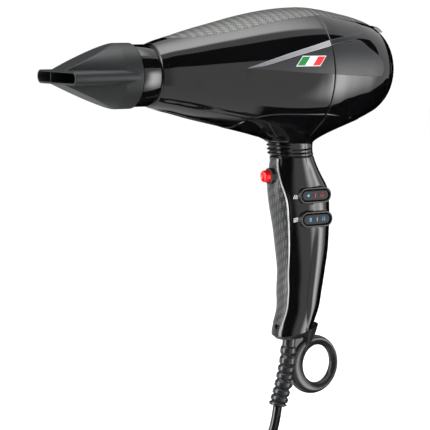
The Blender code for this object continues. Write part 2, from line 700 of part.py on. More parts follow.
def make_foot(finish):
    """Rubber moulding that closes the handle: foot plate, cord boot and hanging ring."""
    plate = [(-17.5, -198.6), (-14, -202.4), (4, -201.2), (14, -206), (20, -204), (15.4, -190.9)]
    foot = outline("foot_boot_and_ring", [plate], -8.5, 8.5)
    foot = join(foot, loft("boot", boot_rings()))
    foot = join(foot, loft("ring", ring_rings(), ends=False))
    web = [(-9, -206), (-3, -206), (0, -222), (-2, -234), (-11, -236)]
    foot = join(foot, outline("web", [web], -2.2, 2.2))
    add_part(foot, finish["rubber"])


def make_lead_inside(finish):
    """The lead's end in the handle, the clamp that grips it, and the wires upwards."""
    add_part(rod("lead_inner_end", (-5.8, 0, -194.4), (-5.8, 0, -178), 3.4), finish["cord"])
    saddle = outline("cord_clamp", [[(-5.8 + 3.9 * math.cos(a), 3.9 * math.sin(a))
                                     for a in np.linspace(0, math.pi, 9)]
                                    + [(-9.7, -2), (-13, -2), (-13, 6), (1.4, 6), (1.4, -2), (-1.9, -2)]],
                     -188, -182, "Z")
    add_part(saddle, finish["nylon"])
    live = [(-7.2, 0, -177.5), (-7.2, 0.8, -174.5), (-8, 6, -167), (-8, 7.4, -150), (-7, 7.4, -130),
            (-4, 7, -117), (0.8, 4.6, -109.4)]
    add_part(wire("wire_live", smooth_route(live, 8), 0.9), finish["live"])
    neutral = [(-4.2, 0, -177.5), (-4.2, 0.8, -174.5), (-4.4, 6, -168), (-4.4, 8.6, -155),
               (-4, 9.5, -130), (-4, 9.5, -100), (-6, 7, -72), (-8, 2, -54), (-8.6, 0, -42),
               (-10, 0, -34), (-17, 0, -28), (-28, 0, -25)]
    add_part(wire("wire_neutral", smooth_route(neutral, 8), 0.9), finish["neutral"])


COIL_MEAN = 40.0        # radius at the middle of the coil's turns
COIL_COLUMNS = 4
COIL_LAYERS = 3
TIE_ROOM = 1.6          # the tie passes under the coil
LEAD_GROUND = CORD_FLOOR + TIE_ROOM + CORD_RADIUS
COIL_OUTER_TURN = COIL_MEAN + CORD_RADIUS * (COIL_COLUMNS - 1)
COIL_CENTRE = (-85.0, 14.0 - COIL_OUTER_TURN)
COIL_HALF_WIDTH = CORD_RADIUS * COIL_COLUMNS + 0.2
COIL_HEIGHT = 2 * CORD_RADIUS * COIL_LAYERS + 0.4
TAIL_ANGLE = math.radians(-60)      # where the lead's far end leaves the coil
PLUG_SIZE = (36.0, 25.0, 31.0)      # width, height, length
PLUG_SLEEVE = 14.0
PIN_LENGTH = 19.0
PIN_SPACING = 19.0
PIN_RADIUS = 2.4


def make_lead(finish):
    drop = [(-17.1, 0, -252.9), (-18.2, 0, -259), (-19.3, 0, -268), (-21.5, 1, -279),
            (-26.5, 3.5, -290), (-35, 7.5, -299.5), (-46, 11.5, -305.4), (-55.6, 13.6, LEAD_GROUND)]
    add_part(wire("lead_drop", smooth_route(drop, 12), CORD_RADIUS, 2), finish["cord"])
    low, high = CORD_FLOOR + TIE_ROOM, CORD_FLOOR + TIE_ROOM + COIL_HEIGHT
    inner, outer = COIL_MEAN - COIL_HALF_WIDTH, COIL_MEAN + COIL_HALF_WIDTH
    coil = turned("lead_coil", [(low, inner), (high, inner), (high, outer), (low, outer)],
                  MIDDLE_TURNS, axis="Z")
    add_part(place(coil, (*COIL_CENTRE, 0)), finish["cord"])


def tail_point(run, height):
    """A point on the line that leaves the coil's outer turn at TAIL_ANGLE."""
    c, s = math.cos(TAIL_ANGLE), math.sin(TAIL_ANGLE)
    return (COIL_CENTRE[0] + COIL_OUTER_TURN * c - run * s,
            COIL_CENTRE[1] + COIL_OUTER_TURN * s + run * c, height)


def make_plug(finish):
    """The far end of the lead, and its moulded plug with two round pins, beside the coil."""
    width, height, length = PLUG_SIZE
    middle = CORD_FLOOR + height / 2
    clear, entry = 29.4, 40.0
    tail = [tail_point(clear, LEAD_GROUND + 4 * CORD_RADIUS), tail_point(clear + 3, LEAD_GROUND + 13.2),
            tail_point(entry - 3.5, middle), tail_point(entry - GAP, middle)]
    add_part(wire("lead_tail", smooth_route(tail, 4), CORD_RADIUS, 2), finish["cord"])

    across = TAIL_ANGLE + math.pi / 2
    body = outline("plug_body", [pill(width, height, (0, 0))], PLUG_SLEEVE, PLUG_SLEEVE + length, "X")
    sleeve = turned("sleeve", [(0, 0), (0, 4.6), (PLUG_SLEEVE + 1, 6.5), (PLUG_SLEEVE + 1, 0)],
                    SMALL_TURNS, closed=False)
    body = join(body, sleeve)
    place(body, tail_point(entry, middle), across)
    add_part(body, finish["rubber"])
    face = PLUG_SLEEVE + length + GAP
    for name, y in (("plug_pin_left", PIN_SPACING / 2), ("plug_pin_right", -PIN_SPACING / 2)):
        pin = rod(name, (face, y, 0), (face + PIN_LENGTH, y, 0), PIN_RADIUS)
        add_part(place(pin, tail_point(entry, middle), across), finish["brass"])


# ---------------------------------------------------------------- hand-over

def publish():
    """Put every piece in its collection, in metres, with moving pieces' origins on their joints."""
    collection = bpy.data.collections.new("hair_dryer")
    bpy.context.scene.collection.children.link(collection)
    for name, (item, pivot) in PARTS.items():
        item.name = name
        item.data.name = name
        item.data.transform(Matrix.Scale(MM, 4) @ Matrix.Translation(-pivot))
        item.location = (pivot + Vector((0, 0, AXIS_HEIGHT))) * MM
        item.data.shade_smooth()
        item.data.set_sharp_from_angle(angle=math.radians(35))
        collection.objects.link(item)
        bpy.context.scene.collection.objects.unlink(item)


def build():
    clear_scene()
    finish = make_finishes()
    make_front_shell(finish)
    make_rear_shell(finish)
    make_trims(finish)
    make_filter_cap(finish)
    make_nozzle(finish)
    make_outlet_grille(finish)
    make_heater(finish)
    make_motor(finish)
    make_rotor(finish)
    make_fan(finish)
    make_fan_duct(finish)
    make_handle_front(finish)
    make_handle_rear(finish)
    make_grip_inlay(finish)
    make_handle_screws(finish)
    make_switch("heat", HEAT_SWITCH, finish)
    make_switch("speed", SPEED_SWITCH, finish)
    make_cold_shot(finish)
    make_foot(finish)
    make_lead_inside(finish)
    make_lead(finish)
    make_plug(finish)
    publish()


build()
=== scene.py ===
"""Looks for a professional hair dryer: gloss barrel and handle, slot nozzle, rockers, ring and lead.

Shapes are worked out in millimetres, with x and y as in the frame and z measured from the barrel's
axis, and put_in_frame() turns them into the frame's metres.
"""
import math

import bmesh
import bpy
import numpy as np
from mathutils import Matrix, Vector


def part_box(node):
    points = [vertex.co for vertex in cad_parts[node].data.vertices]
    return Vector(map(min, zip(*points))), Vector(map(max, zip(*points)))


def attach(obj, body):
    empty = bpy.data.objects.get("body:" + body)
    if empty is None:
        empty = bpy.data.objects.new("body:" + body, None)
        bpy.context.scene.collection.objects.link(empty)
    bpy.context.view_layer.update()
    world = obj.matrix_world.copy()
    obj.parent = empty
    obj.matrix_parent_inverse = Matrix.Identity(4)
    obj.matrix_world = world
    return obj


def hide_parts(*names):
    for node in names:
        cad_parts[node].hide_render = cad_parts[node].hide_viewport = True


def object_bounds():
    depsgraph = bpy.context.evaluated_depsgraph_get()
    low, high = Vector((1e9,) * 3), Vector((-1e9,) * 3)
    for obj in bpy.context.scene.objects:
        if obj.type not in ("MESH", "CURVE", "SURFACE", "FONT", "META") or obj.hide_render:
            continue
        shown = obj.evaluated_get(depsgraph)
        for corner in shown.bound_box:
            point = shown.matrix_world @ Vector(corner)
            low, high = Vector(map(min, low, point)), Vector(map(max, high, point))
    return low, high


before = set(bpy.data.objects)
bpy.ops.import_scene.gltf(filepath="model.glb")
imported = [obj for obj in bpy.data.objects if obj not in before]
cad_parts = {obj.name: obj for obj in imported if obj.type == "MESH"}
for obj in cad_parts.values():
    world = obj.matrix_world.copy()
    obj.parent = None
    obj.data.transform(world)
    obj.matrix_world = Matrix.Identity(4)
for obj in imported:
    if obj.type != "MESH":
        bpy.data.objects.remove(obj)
cad_low, cad_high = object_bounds()


# ---- Camera, floor and lights ----
# A product studio: an evenly white room and floor, soft panels of light overhead, at the front right
# and at the left, and black cards that the gloss shells mirror as dark bands.

shaft_low, shaft_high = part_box("motor_shaft")
AXIS_HEIGHT = (shaft_low.z + shaft_high.z) / 2
FLOOR = cad_low.z
MM = 0.001
ROOM_GLOW = 1.02        # the room's even white


def srgb(code):
    """A colour written as hex, turned from sRGB to linear."""
    parts = [int(code[i:i + 2], 16) / 255 for i in (1, 3, 5)]
    return tuple(c / 12.92 if c <= 0.04045 else ((c + 0.055) / 1.055) ** 2.4 for c in parts) + (1.0,)


def add_node(tree, kind, inputs=None, **settings):
    """Add a node with its properties; an input takes a value, a socket or a node's first output."""
    made = tree.nodes.new(kind)
    for name, value in settings.items():
        setattr(made, name, value)
    for name, value in (inputs or {}).items():
        socket = made.inputs[name] if isinstance(name, int) else next(
            s for s in made.inputs if s.name == name and s.enabled)
        if isinstance(value, bpy.types.Node):
            value = next(s for s in value.outputs if s.enabled)
        if isinstance(value, bpy.types.NodeSocket):
            tree.links.new(value, socket)
        else:
            socket.default_value = value
    return made


def wire_up(tree, shader, **inputs):
    """Link nodes' first outputs to the shader's sockets."""
    for name, source in inputs.items():
        tree.links.new(next(s for s in source.outputs if s.enabled),
                       shader.inputs[name.replace("_", " ")])


def new_material(name, **shader):
    """A material with its Principled shader's plain values set; returns it, its tree and shader."""
    made = bpy.data.materials.new(name)
    made.use_nodes = True
    principled = made.node_tree.nodes["Principled BSDF"]
    for socket, value in shader.items():
        principled.inputs[socket.replace("_", " ")].default_value = value
    return made, made.node_tree, principled


CAMERA_TURN = math.radians(31.18)       # from +Y towards +X
CAMERA_DIP = math.radians(6.9)
camera = bpy.data.objects.new("camera", bpy.data.cameras.new("camera"))
bpy.context.scene.collection.objects.link(camera)
bpy.context.scene.camera = camera
camera.location = (-0.7057, -1.0462, AXIS_HEIGHT + 0.045)
camera.rotation_euler = (math.pi / 2 - CAMERA_DIP, 0, -CAMERA_TURN)
camera.data.lens = 140.9
camera.data.clip_start = 0.05

bpy.context.scene.view_settings.view_transform = "Standard"
world = bpy.data.worlds.new("studio_room")
world.use_nodes = True
bpy.context.scene.world = world
room = world.node_tree.nodes["Background"]
room.inputs["Color"].default_value = (1, 1, 1, 1)
room.inputs["Strength"].default_value = ROOM_GLOW


def facing_quad(name, centre, aim, width, height):
    """A flat sheet of the given size, square to the line from its centre to the aim point."""
    mesh = bpy.data.meshes.new(name)
    w, h = width / 2, height / 2
    mesh.from_pydata([(-w, -h, 0), (w, -h, 0), (w, h, 0), (-w, h, 0)], [], [(0, 1, 2, 3)])
    sheet = bpy.data.objects.new(name, mesh)
    bpy.context.scene.collection.objects.link(sheet)
    aim_at(sheet, centre, aim)
    return sheet


def aim_at(item, centre, aim):
    """Put an object at a point with its -Z side towards another point."""
    item.location = centre
    line = np.array(aim) - np.array(centre)
    turn = math.atan2(-line[0], line[1])
    lean = math.atan2(math.hypot(line[0], line[1]), -line[2])
    item.rotation_euler = (lean, 0, turn)


def soft_panel(name, centre, width, height, fades, radiance, aim=(0, 0, AXIS_HEIGHT)):
    """A panel that adds light, or with no radiance hides what is behind it.

    The fades are the shares of it that dim towards its left, right, low and high edge.
    """
    paint = bpy.data.materials.new(name)
    paint.use_nodes = True
    tree = paint.node_tree
    tree.nodes.clear()
    where = add_node(tree, "ShaderNodeTexCoord")
    axes = add_node(tree, "ShaderNodeSeparateXYZ", {"Vector": where.outputs["Object"]})
    level = 1.0
    for axis, size, sign, share in zip("XXYY", (width, width, height, height), (1, -1, 1, -1), fades):
        edge = -sign * size / 2
        fade = add_node(tree, "ShaderNodeMapRange", {
            "Value": axes.outputs[axis], "From Min": edge, "From Max": edge + sign * share * size},
            interpolation_type="SMOOTHSTEP")
        level = add_node(tree, "ShaderNodeMath", {0: level, 1: fade}, operation="MULTIPLY")
    clear = add_node(tree, "ShaderNodeBsdfTransparent")
    if radiance:
        strength = add_node(tree, "ShaderNodeMath", {0: level, 1: radiance}, operation="MULTIPLY")
        light = add_node(tree, "ShaderNodeEmission", {"Strength": strength})
        both = add_node(tree, "ShaderNodeAddShader", {0: light, 1: clear})
    else:
        dark = add_node(tree, "ShaderNodeEmission", {"Strength": 0.0})
        both = add_node(tree, "ShaderNodeMixShader", {0: level, 1: clear, 2: dark})
    add_node(tree, "ShaderNodeOutputMaterial", {"Surface": both})
    panel = facing_quad(name, centre, aim, width, height)
    panel.data.materials.append(paint)
    panel.visible_camera = False
    panel.visible_shadow = False
    panel.visible_diffuse = radiance > 0
    return panel


def around(turn, rise, far):
    """A point seen from the barrel at a compass turn from -Y towards +X, and a rise, in degrees."""
    t, r = math.radians(turn), math.radians(rise)
    return (far * math.sin(t) * math.cos(r), -far * math.cos(t) * math.cos(r),
            AXIS_HEIGHT + far * math.sin(r))


overhead = soft_panel("overhead_panel", (-0.65, 0.15, AXIS_HEIGHT + 1.3), 3.6, 1.4,
                      (0.05, 0.35, 0.1, 0.9), 6.0, (-0.65, 0.15, 0))
overhead.rotation_euler = (0, 0, CAMERA_TURN * 0.4)
soft_panel("side_panel", around(50, -14, 1.6), 1.42, 2.0, (0.38, 0.62, 0.5, 0.3), 7.5)
soft_panel("left_panel", around(-100, 4, 1.8), 1.0, 1.9, (0.3, 0.3, 0.2, 0.2), 9.0)
CRISP = (0.01, 0.01, 0.01, 0.01)        # a card's edges hardly fade
soft_panel("front_card", around(20, 43, 2.2), 6.0, 1.4, CRISP, 0)
soft_panel("left_card", around(-42, -4, 2.2), 3.9, 3.0, (0.03, 0.35, 0.05, 0.05), 0)
soft_panel("back_card", around(180, 24, 2.6), 6.0, 1.9, CRISP, 0)
soft_panel("rear_card", around(128, -6, 2.4), 2.6, 2.4, CRISP, 0)
low_card = soft_panel("low_card", (1.5, 0.12, FLOOR + 0.002), 3.0, 0.62, CRISP, 0, (1.5, 0.12, FLOOR - 1))
low_card.rotation_euler = (0, 0, 0)

floor_paint, tree, shader = new_material("matt_white_floor", Roughness=0.9)
mottle = add_node(tree, "ShaderNodeTexNoise", {"Scale": 3.0})
wire_up(tree, shader, Base_Color=add_node(tree, "ShaderNodeMix", {
    "Factor": mottle, "A": srgb("#fafafa"), "B": srgb("#ffffff")}, data_type="RGBA"))
floor = facing_quad("floor", (0, 0, FLOOR - 0.001), (0, 0, FLOOR - 1), 8, 8)
floor.rotation_euler = (0, 0, 0)
floor.data.materials.append(floor_paint)
floor.visible_glossy = False


# ---- Mains lead ----
# A 7.2 mm two-core lead with a gloss black PVC sheath. It hangs from the boot, and the rest of its
# length is wound for storage in a three-layer coil, held by a strap, with the plug beside it.

def put_in_frame(points):
    """Millimetres with z from the barrel's axis, as the frame's metres."""
    return (np.asarray(points, float) + (0, 0, AXIS_HEIGHT / MM)) * MM


def smooth_route(points, spacing):
    """Points about a spacing apart on a Catmull-Rom curve through the given ones."""
    given = np.array(points, float)
    given = np.vstack([2 * given[0] - given[1], given, 2 * given[-1] - given[-2]])
    route = []
    for before, start, end, after in zip(given, given[1:], given[2:], given[3:]):
        steps = max(1, round(np.linalg.norm(end - start) / spacing))
        t = (np.arange(steps) / steps)[:, None]
        route.append(0.5 * (2 * start + (end - before) * t
                            + (2 * before - 5 * start + 4 * end - after) * t ** 2
                            + (3 * start - before - 3 * end + after) * t ** 3))
    return np.vstack(route + [given[-2:-1]])


CORD_RADIUS = 3.6
STRAP_ROOM = 1.6        # the strap passes between the coil and the ground
LEAD_GROUND = FLOOR / MM - AXIS_HEIGHT / MM + STRAP_ROOM + CORD_RADIUS
COIL_MEAN = 40.8
COIL_OUTER_TURN = COIL_MEAN + 3 * CORD_RADIUS
COIL_CENTRE = (-85.0, 14.0 - COIL_OUTER_TURN)
COIL_START = math.radians(90)
TAIL_ANGLE = math.radians(-60)
PLUG_HEIGHT = 25.0
LEVEL_SHARE = 0.4       # of each turn, before it eases into the next
TURN_PLACES = [(3, 0), (2, 0), (1, 0), (0, 0), (0, 1), (1, 1), (2, 1), (3, 1), (1, 2), (2, 2), (3, 2)]


def coil_turns(step=math.radians(12)):
    """Each turn is an arc at its own (column, layer), and then eases into the next one's."""
    last = len(TURN_PLACES) - 1 + (TAIL_ANGLE - COIL_START) / (2 * math.pi) % 1
    turn = np.linspace(0, last, round(last * 2 * math.pi / step))
    number = np.minimum(turn.astype(int), len(TURN_PLACES) - 1)
    ease = np.clip((turn - number - LEVEL_SHARE) / (1 - LEVEL_SHARE), 0, 1)
    ease = ease * ease * (3 - 2 * ease)
    places = np.array(TURN_PLACES + TURN_PLACES[-1:], float)
    column, layer = (places[number] * (1 - ease[:, None]) + places[number + 1] * ease[:, None]).T
    radius = COIL_MEAN + CORD_RADIUS * (2 * column - 3)
    angle = COIL_START + 2 * math.pi * turn
    return np.stack([COIL_CENTRE[0] + radius * np.cos(angle), COIL_CENTRE[1] + radius * np.sin(angle),
                     LEAD_GROUND + 2 * CORD_RADIUS * layer], -1)


def tail_point(run, height):
    """A point on the line that leaves the coil's outer turn at TAIL_ANGLE."""
    c, s = math.cos(TAIL_ANGLE), math.sin(TAIL_ANGLE)
    return (COIL_CENTRE[0] + COIL_OUTER_TURN * c - run * s,
            COIL_CENTRE[1] + COIL_OUTER_TURN * s + run * c, height)


# Below the boot the lead drops in one easy curve to the ground and runs on as the coil's first turn.
drop = [(-17.1, 0, -252.9), (-18.2, 0.1, -260.2), (-20.4, 0.8, -270.5), (-24.1, 2.4, -280.6),
        (-29.6, 4.9, -289.8), (-36.8, 8.1, -297.8), (-45.6, 11.4, -303.6), (-54.8, 13.5, -306.3),
        (-62.5, 14, LEAD_GROUND), (-74, 14, LEAD_GROUND)]

# Its other end leaves the top layer straight and eases down to the plug's height.
plug_entry = 40.0       # how far beyond the coil the lead enters the plug
plug_middle = LEAD_GROUND - CORD_RADIUS - STRAP_ROOM + PLUG_HEIGHT / 2
top_layer = LEAD_GROUND + 4 * CORD_RADIUS
tail = [tail_point(run, plug_middle + (top_layer - plug_middle) * height)
        for run, height in [(5, 0.99), (12, 0.84), (19, 0.56), (26, 0.27), (33, 0.06),
                            (plug_entry - 0.3, 0)]]
lead_path = put_in_frame(np.vstack([smooth_route(drop, 4), coil_turns(), smooth_route(tail, 3)]))
lead_curve = bpy.data.curves.new("mains_lead", "CURVE")
lead_curve.dimensions = "3D"
lead_curve.bevel_depth = CORD_RADIUS * MM
lead_curve.bevel_resolution = 6
lead_curve.use_fill_caps = True
spline = lead_curve.splines.new("POLY")
spline.points.add(len(lead_path) - 1)
spline.points.foreach_set("co", np.column_stack([lead_path, np.ones(len(lead_path))]).ravel())
spline.use_smooth = True
mains_lead = bpy.data.objects.new("mains_lead", lead_curve)
bpy.context.scene.collection.objects.link(mains_lead)


def mottled(name, tone, other, scale, roughness, metallic=0.0, bump=0.1, detail=3.0, distance=0.0002,
            **shader):
    """A material whose colour wanders between two tones, with relief of the same grain.

    The other tone is a colour, or a share of the first; bump 0 leaves the surface smooth.
    """
    made, tree, principled = new_material(name, Roughness=roughness, Metallic=metallic, **shader)
    where = add_node(tree, "ShaderNodeTexCoord")
    grain = add_node(tree, "ShaderNodeTexNoise", {
        "Vector": where.outputs["Object"], "Scale": scale, "Detail": detail})
    tone = srgb(tone)
    other = srgb(other) if isinstance(other, str) else tuple(other * c for c in tone[:3]) + (1.0,)
    wire_up(tree, principled, Base_Color=add_node(tree, "ShaderNodeMix", {
        "Factor": grain, "A": tone, "B": other}, data_type="RGBA"))
    if bump:
        wire_up(tree, principled, Normal=add_node(tree, "ShaderNodeBump", {
            "Height": grain, "Strength": bump, "Distance": distance}))
    return made


# PVC sheath: gloss, with the faint long-wave ripple of an extruded skin.
pvc_sheath = mottled("extruded_black_pvc", "#0a0a0b", "#141416", 160.0, 0.16, bump=0.15,
                     distance=0.0004, IOR=1.53)
lead_curve.materials.append(pvc_sheath)
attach(mains_lead, "dryer")
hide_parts("lead_drop", "lead_coil", "lead_tail")


# ---- Barrel shells ----
# Two injection-moulded ABS shells in piano black, polished in the mould. They meet at a ring seam at
# the widest point, and the front one carries the stepped snout that the nozzle pushes on to.

def curve_through(points, at):
    """A smooth curve through (position, value) points: Hermite pieces with each point's mean slope."""
    x, y = np.array(points, float).T
    slope = np.gradient(y, x)
    at = np.clip(np.asarray(at, float), x[0], x[-1])
    i = np.clip(np.searchsorted(x, at) - 1, 0, len(x) - 2)
    span = x[i + 1] - x[i]
    t = (at - x[i]) / span
    return ((1 + 2 * t) * (1 - t) ** 2 * y[i] + t * (1 - t) ** 2 * span * slope[i]
            + t * t * (3 - 2 * t) * y[i + 1] + t * t * (t - 1) * span * slope[i + 1])


def grid_faces(rows, columns, wrap):
    """Quads between neighbouring points of a grid, whose columns may close in a ring."""
    r = np.arange(rows - 1)[:, None]
    c = np.arange(columns if wrap else columns - 1)[None, :]
    following = (c + 1) % columns
    return np.stack([r * columns + c, r * columns + following,
                     (r + 1) * columns + following, (r + 1) * columns + c], -1).reshape(-1, 4)


def wall(outer, inner, wrap):
    """A closed wall between two grids of points: both skins, and strips that join their rims."""
    rows, columns = outer.shape[:2]
    skin = grid_faces(rows, columns, wrap)
    shift = rows * columns
    index = np.arange(shift).reshape(rows, columns)
    rims = [index[0], index[-1]]
    if wrap:
        rims = [np.append(rim, rim[0]) for rim in rims]
    else:
        rims += [index[:, 0], index[:, -1]]
    strips = [np.stack([rim[:-1], rim[1:], rim[1:] + shift, rim[:-1] + shift], -1) for rim in rims]
    points = np.concatenate([outer.reshape(-1, 3), inner.reshape(-1, 3)])
    return points, np.concatenate([skin, skin + shift] + strips)


def ring_body(grid):
    """A closed body from a grid whose rows and columns both close, such as a turned section."""
    rows, columns = grid.shape[:2]
    closed = np.concatenate([grid, grid[:1]])
    faces = grid_faces(rows + 1, columns, True) % (rows * columns)
    return closed[:-1].reshape(-1, 3), faces


def turned_section(profile, sides=192):
    """A closed section of (along, radius) points carried once round the barrel's axis."""
    along, radius = np.array(profile, float).T
    angle = 2 * np.pi * np.arange(sides) / sides
    grid = np.stack([np.broadcast_to(along[:, None], (len(along), sides)),
                     -radius[:, None] * np.cos(angle), radius[:, None] * np.sin(angle)], -1)
    grid[..., 2] += rear_lift(grid[..., 0])
    return ring_body(grid)


def make_piece(name, bodies, material, body, replaces=(), uv=None, sharp=40):
    """One object from (points, faces) bodies in millimetres, smooth but for edges over an angle."""
    points, faces, start = [], [], 0
    for body_points, body_faces in bodies:
        points.append(body_points)
        faces.extend((np.asarray(body_faces) + start).tolist())
        start += len(body_points)
    mesh = bpy.data.meshes.new(name)
    mesh.from_pydata(put_in_frame(np.concatenate(points)).tolist(), [], faces)
    if uv is not None:
        corners = np.empty(len(mesh.loops), np.int32)
        mesh.loops.foreach_get("vertex_index", corners)
        layer = mesh.uv_layers.new(name="UVMap")
        layer.data.foreach_set("uv", np.asarray(uv, np.float32)[corners].ravel())
    shape = bmesh.new()
    shape.from_mesh(mesh)
    bmesh.ops.recalc_face_normals(shape, faces=shape.faces)
    shape.to_mesh(mesh)
    shape.free()
    mesh.materials.append(material)
    mesh.shade_smooth()
    mesh.set_sharp_from_angle(angle=math.radians(sharp))
    piece = bpy.data.objects.new(name, mesh)
    bpy.context.scene.collection.objects.link(piece)
    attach(piece, body)
    if replaces:
        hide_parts(*replaces)
    return piece


REAR_LIFT = 1.4         # the intake end's centre stands this much above the axis
SEAM_GAP = 0.2          # from the seam's middle to each shell
INSERT_GAP = SEAM_GAP + 0.1     # and to each insert
SNOUT_TIP, SNOUT_STEP, SNOUT_BACK = -158.0, -143.0, -128.0
BARREL = [(-128, 22.8), (-122, 24.8), (-110, 27.9), (-95, 32.0), (-75, 36.8), (-50, 42.5), (-25, 46.5),
          (-10, 47.7), (0, 47.9), (8, 47.3), (20, 45.2), (32, 42.6), (42, 40.2), (52, 37.0), (60, 33.8)]


def rear_lift(x):
    """Nothing up to 10 behind the seam, then an even rise to the full lift over the next 45."""
    return REAR_LIFT * np.clip((np.asarray(x) - 10) / 45, 0, 1)


def barrel_radius(x):
    """The barrel's radius at a place along its axis."""
    return curve_through(BARREL, x)


def on_barrel(x, angle, proud=0.0):
    """A point on the barrel at an angle from its switch side, -Y, up to +Z."""
    radius = barrel_radius(x) + proud
    return np.stack([x + 0 * angle, -radius * np.cos(angle), radius * np.sin(angle) + rear_lift(x)], -1)


def angle_at_height(x, z):
    """The angle at which the barrel's near side reaches a height."""
    return np.arcsin(np.clip((z - rear_lift(x)) / barrel_radius(x), -1, 1))


# The mould leaves a crease on each side of the front shell, from the snout to the band's tip.
CREASE = [(-119, 1.7), (-96.5, 3.8), (-69, 4.7)]
CREASE_STEP = 0.55


def creased_skin(x, sides=360):
    """The front shell's skin: columns bend to follow the crease, and the skin drops just below it."""
    even = 2 * np.pi * np.arange(sides) / sides - np.pi / 2
    x = x[:, None]
    target = angle_at_height(x, curve_through(CREASE, x))
    side = np.where(np.cos(even) > 0, even, np.pi - even)
    column = np.round(np.degrees(target.mean())) * np.pi / 180
    pull = np.exp(-((side - column) / 0.22) ** 2) * (target - column)
    turned = side + pull
    below = np.clip((target - turned) / 0.02, 0, 1) * np.exp(-np.clip(target - turned, 0, 9) / 0.2)
    fade = np.clip((x + 119) / 12, 0, 1) * np.clip((-66 - x) / 4, 0, 1)
    angle = np.where(np.cos(even) > 0, turned, np.pi - turned)
    return on_barrel(x, angle, -CREASE_STEP * below * fade)


# Moulded ABS: a deep black with almost no texture, only a very long, faint waviness.
gloss_abs = mottled("polished_black_abs", "#050506", "#0a0a0b", 26.0, 0.045, bump=0.05, detail=1.0,
                    distance=0.0006, IOR=1.52)

front_x = np.concatenate([np.linspace(-127.6, -66, 60), np.linspace(-65, -0.9, 60)])
front_outer = creased_skin(front_x)
edge_angle = np.arctan2(front_outer[-1, :, 2], -front_outer[-1, :, 1])[None]
rolled_edge = [on_barrel(np.array([[x]]), edge_angle, -inset)[0]
               for x, inset in ((-0.45, 0.06), (-SEAM_GAP, 0.3), (-SEAM_GAP, 1.2))]
front_outer = np.concatenate([front_outer, np.array(rolled_edge)])
front_inner = front_outer * (1, 0.93, 0.93)     # the wall is 7% of the radius thick
front_wall = wall(front_outer, front_inner, True)
snout = turned_section([
    (SNOUT_TIP, 17.2), (SNOUT_TIP, 18.8), (SNOUT_TIP + 0.4, 19.2), (SNOUT_STEP - 0.3, 19.2),
    (SNOUT_STEP, 19.5), (SNOUT_STEP, 21.7), (SNOUT_STEP + 0.3, 22.0), (-129.2, 22.0),
    (SNOUT_BACK - 0.6, 21.6), (SNOUT_BACK - 0.3, 21.6), (SNOUT_BACK, 22.2), (SNOUT_BACK + 0.4, 22.75),
    (-126.4, 23.2), (-122, 23.0), (-124, 19.6), (-129, 17.2)])
make_piece("front_shell", [front_wall, snout], gloss_abs, "dryer", ["barrel_front_shell"])

rear_x = np.linspace(0.9, 59.6, 70)
rear_profile = [(SEAM_GAP, barrel_radius(0) - 1.2), (SEAM_GAP, barrel_radius(0) - 0.3),
                (0.45, barrel_radius(0) - 0.06)]
rear_profile += [(x, barrel_radius(x)) for x in rear_x]
rear_profile += [(59.8, 33.6), (59.8, 31.9), (52, 34.8), (40, 38.6), (20, 43.0)]
make_piece("rear_shell", [turned_section(rear_profile)], gloss_abs, "dryer",
           ["barrel_rear_shell"])


# ---- Side panels and accent bands ----
# Satin-painted ABS inserts with a foil-faced band along their upper edge, snapped into shallow seats
# on both sides; they stand a hair proud, with softened edges.

def span_with_edges(start, end, count, edge=0.22):
    """Even positions with two extra ones close to each end, where an edge is rolled over."""
    step = np.array([0, edge, 2.2 * edge])
    return np.concatenate([start + step, np.linspace(start + 5 * edge, end - 5 * edge, count),
                           end - step[::-1]])


def inlaid_patch(x_from, x_to, low_edge, high_edge, proud, thick=0.9, rows=50, columns=16, far_side=False,
                 as_angles=None):
    """A thin insert on the barrel between two edge curves of (x, height), with rolled edges."""
    x = span_with_edges(x_from, x_to, rows)[:, None]
    if as_angles is None:
        low, high = (angle_at_height(x, curve_through(edge, x)) for edge in (low_edge, high_edge))
    else:
        low, high = as_angles(x)
    width = np.maximum((high - low) * barrel_radius(x), 0.3)
    share = span_with_edges(0.0, 1.0, columns, 0.0) + 0 * x
    edge = np.minimum(0.22 / width, 0.1)
    share[:, 1:2], share[:, 2:3] = edge, 2.2 * edge
    share[:, -2:-1], share[:, -3:-2] = 1 - edge, 1 - 2.2 * edge
    middle = share[:, 3:-3]
    middle[:] = 3.5 * edge + (middle - middle[:, :1]) / (middle[:, -1:] - middle[:, :1]) * (1 - 7 * edge)
    drop = np.zeros_like(share)
    for spot, depth in ((0, 0.35), (1, 0.07)):
        drop[:, spot] = drop[:, -1 - spot] = depth
        drop[spot] = np.maximum(drop[spot], depth)
        drop[-1 - spot] = np.maximum(drop[-1 - spot], depth)
    angle = low + share * (high - low)
    outer = on_barrel(x, angle, proud - drop)
    inner = on_barrel(x, angle, proud - thick)
    along = np.broadcast_to(x, share.shape)
    uv = np.stack([along, (angle - (low + high) / 2) * barrel_radius(x)], -1).reshape(-1, 2) * MM
    if far_side:
        outer, inner = outer * (1, -1, 1), inner * (1, -1, 1)
    return wall(outer, inner, False), np.concatenate([uv, uv])


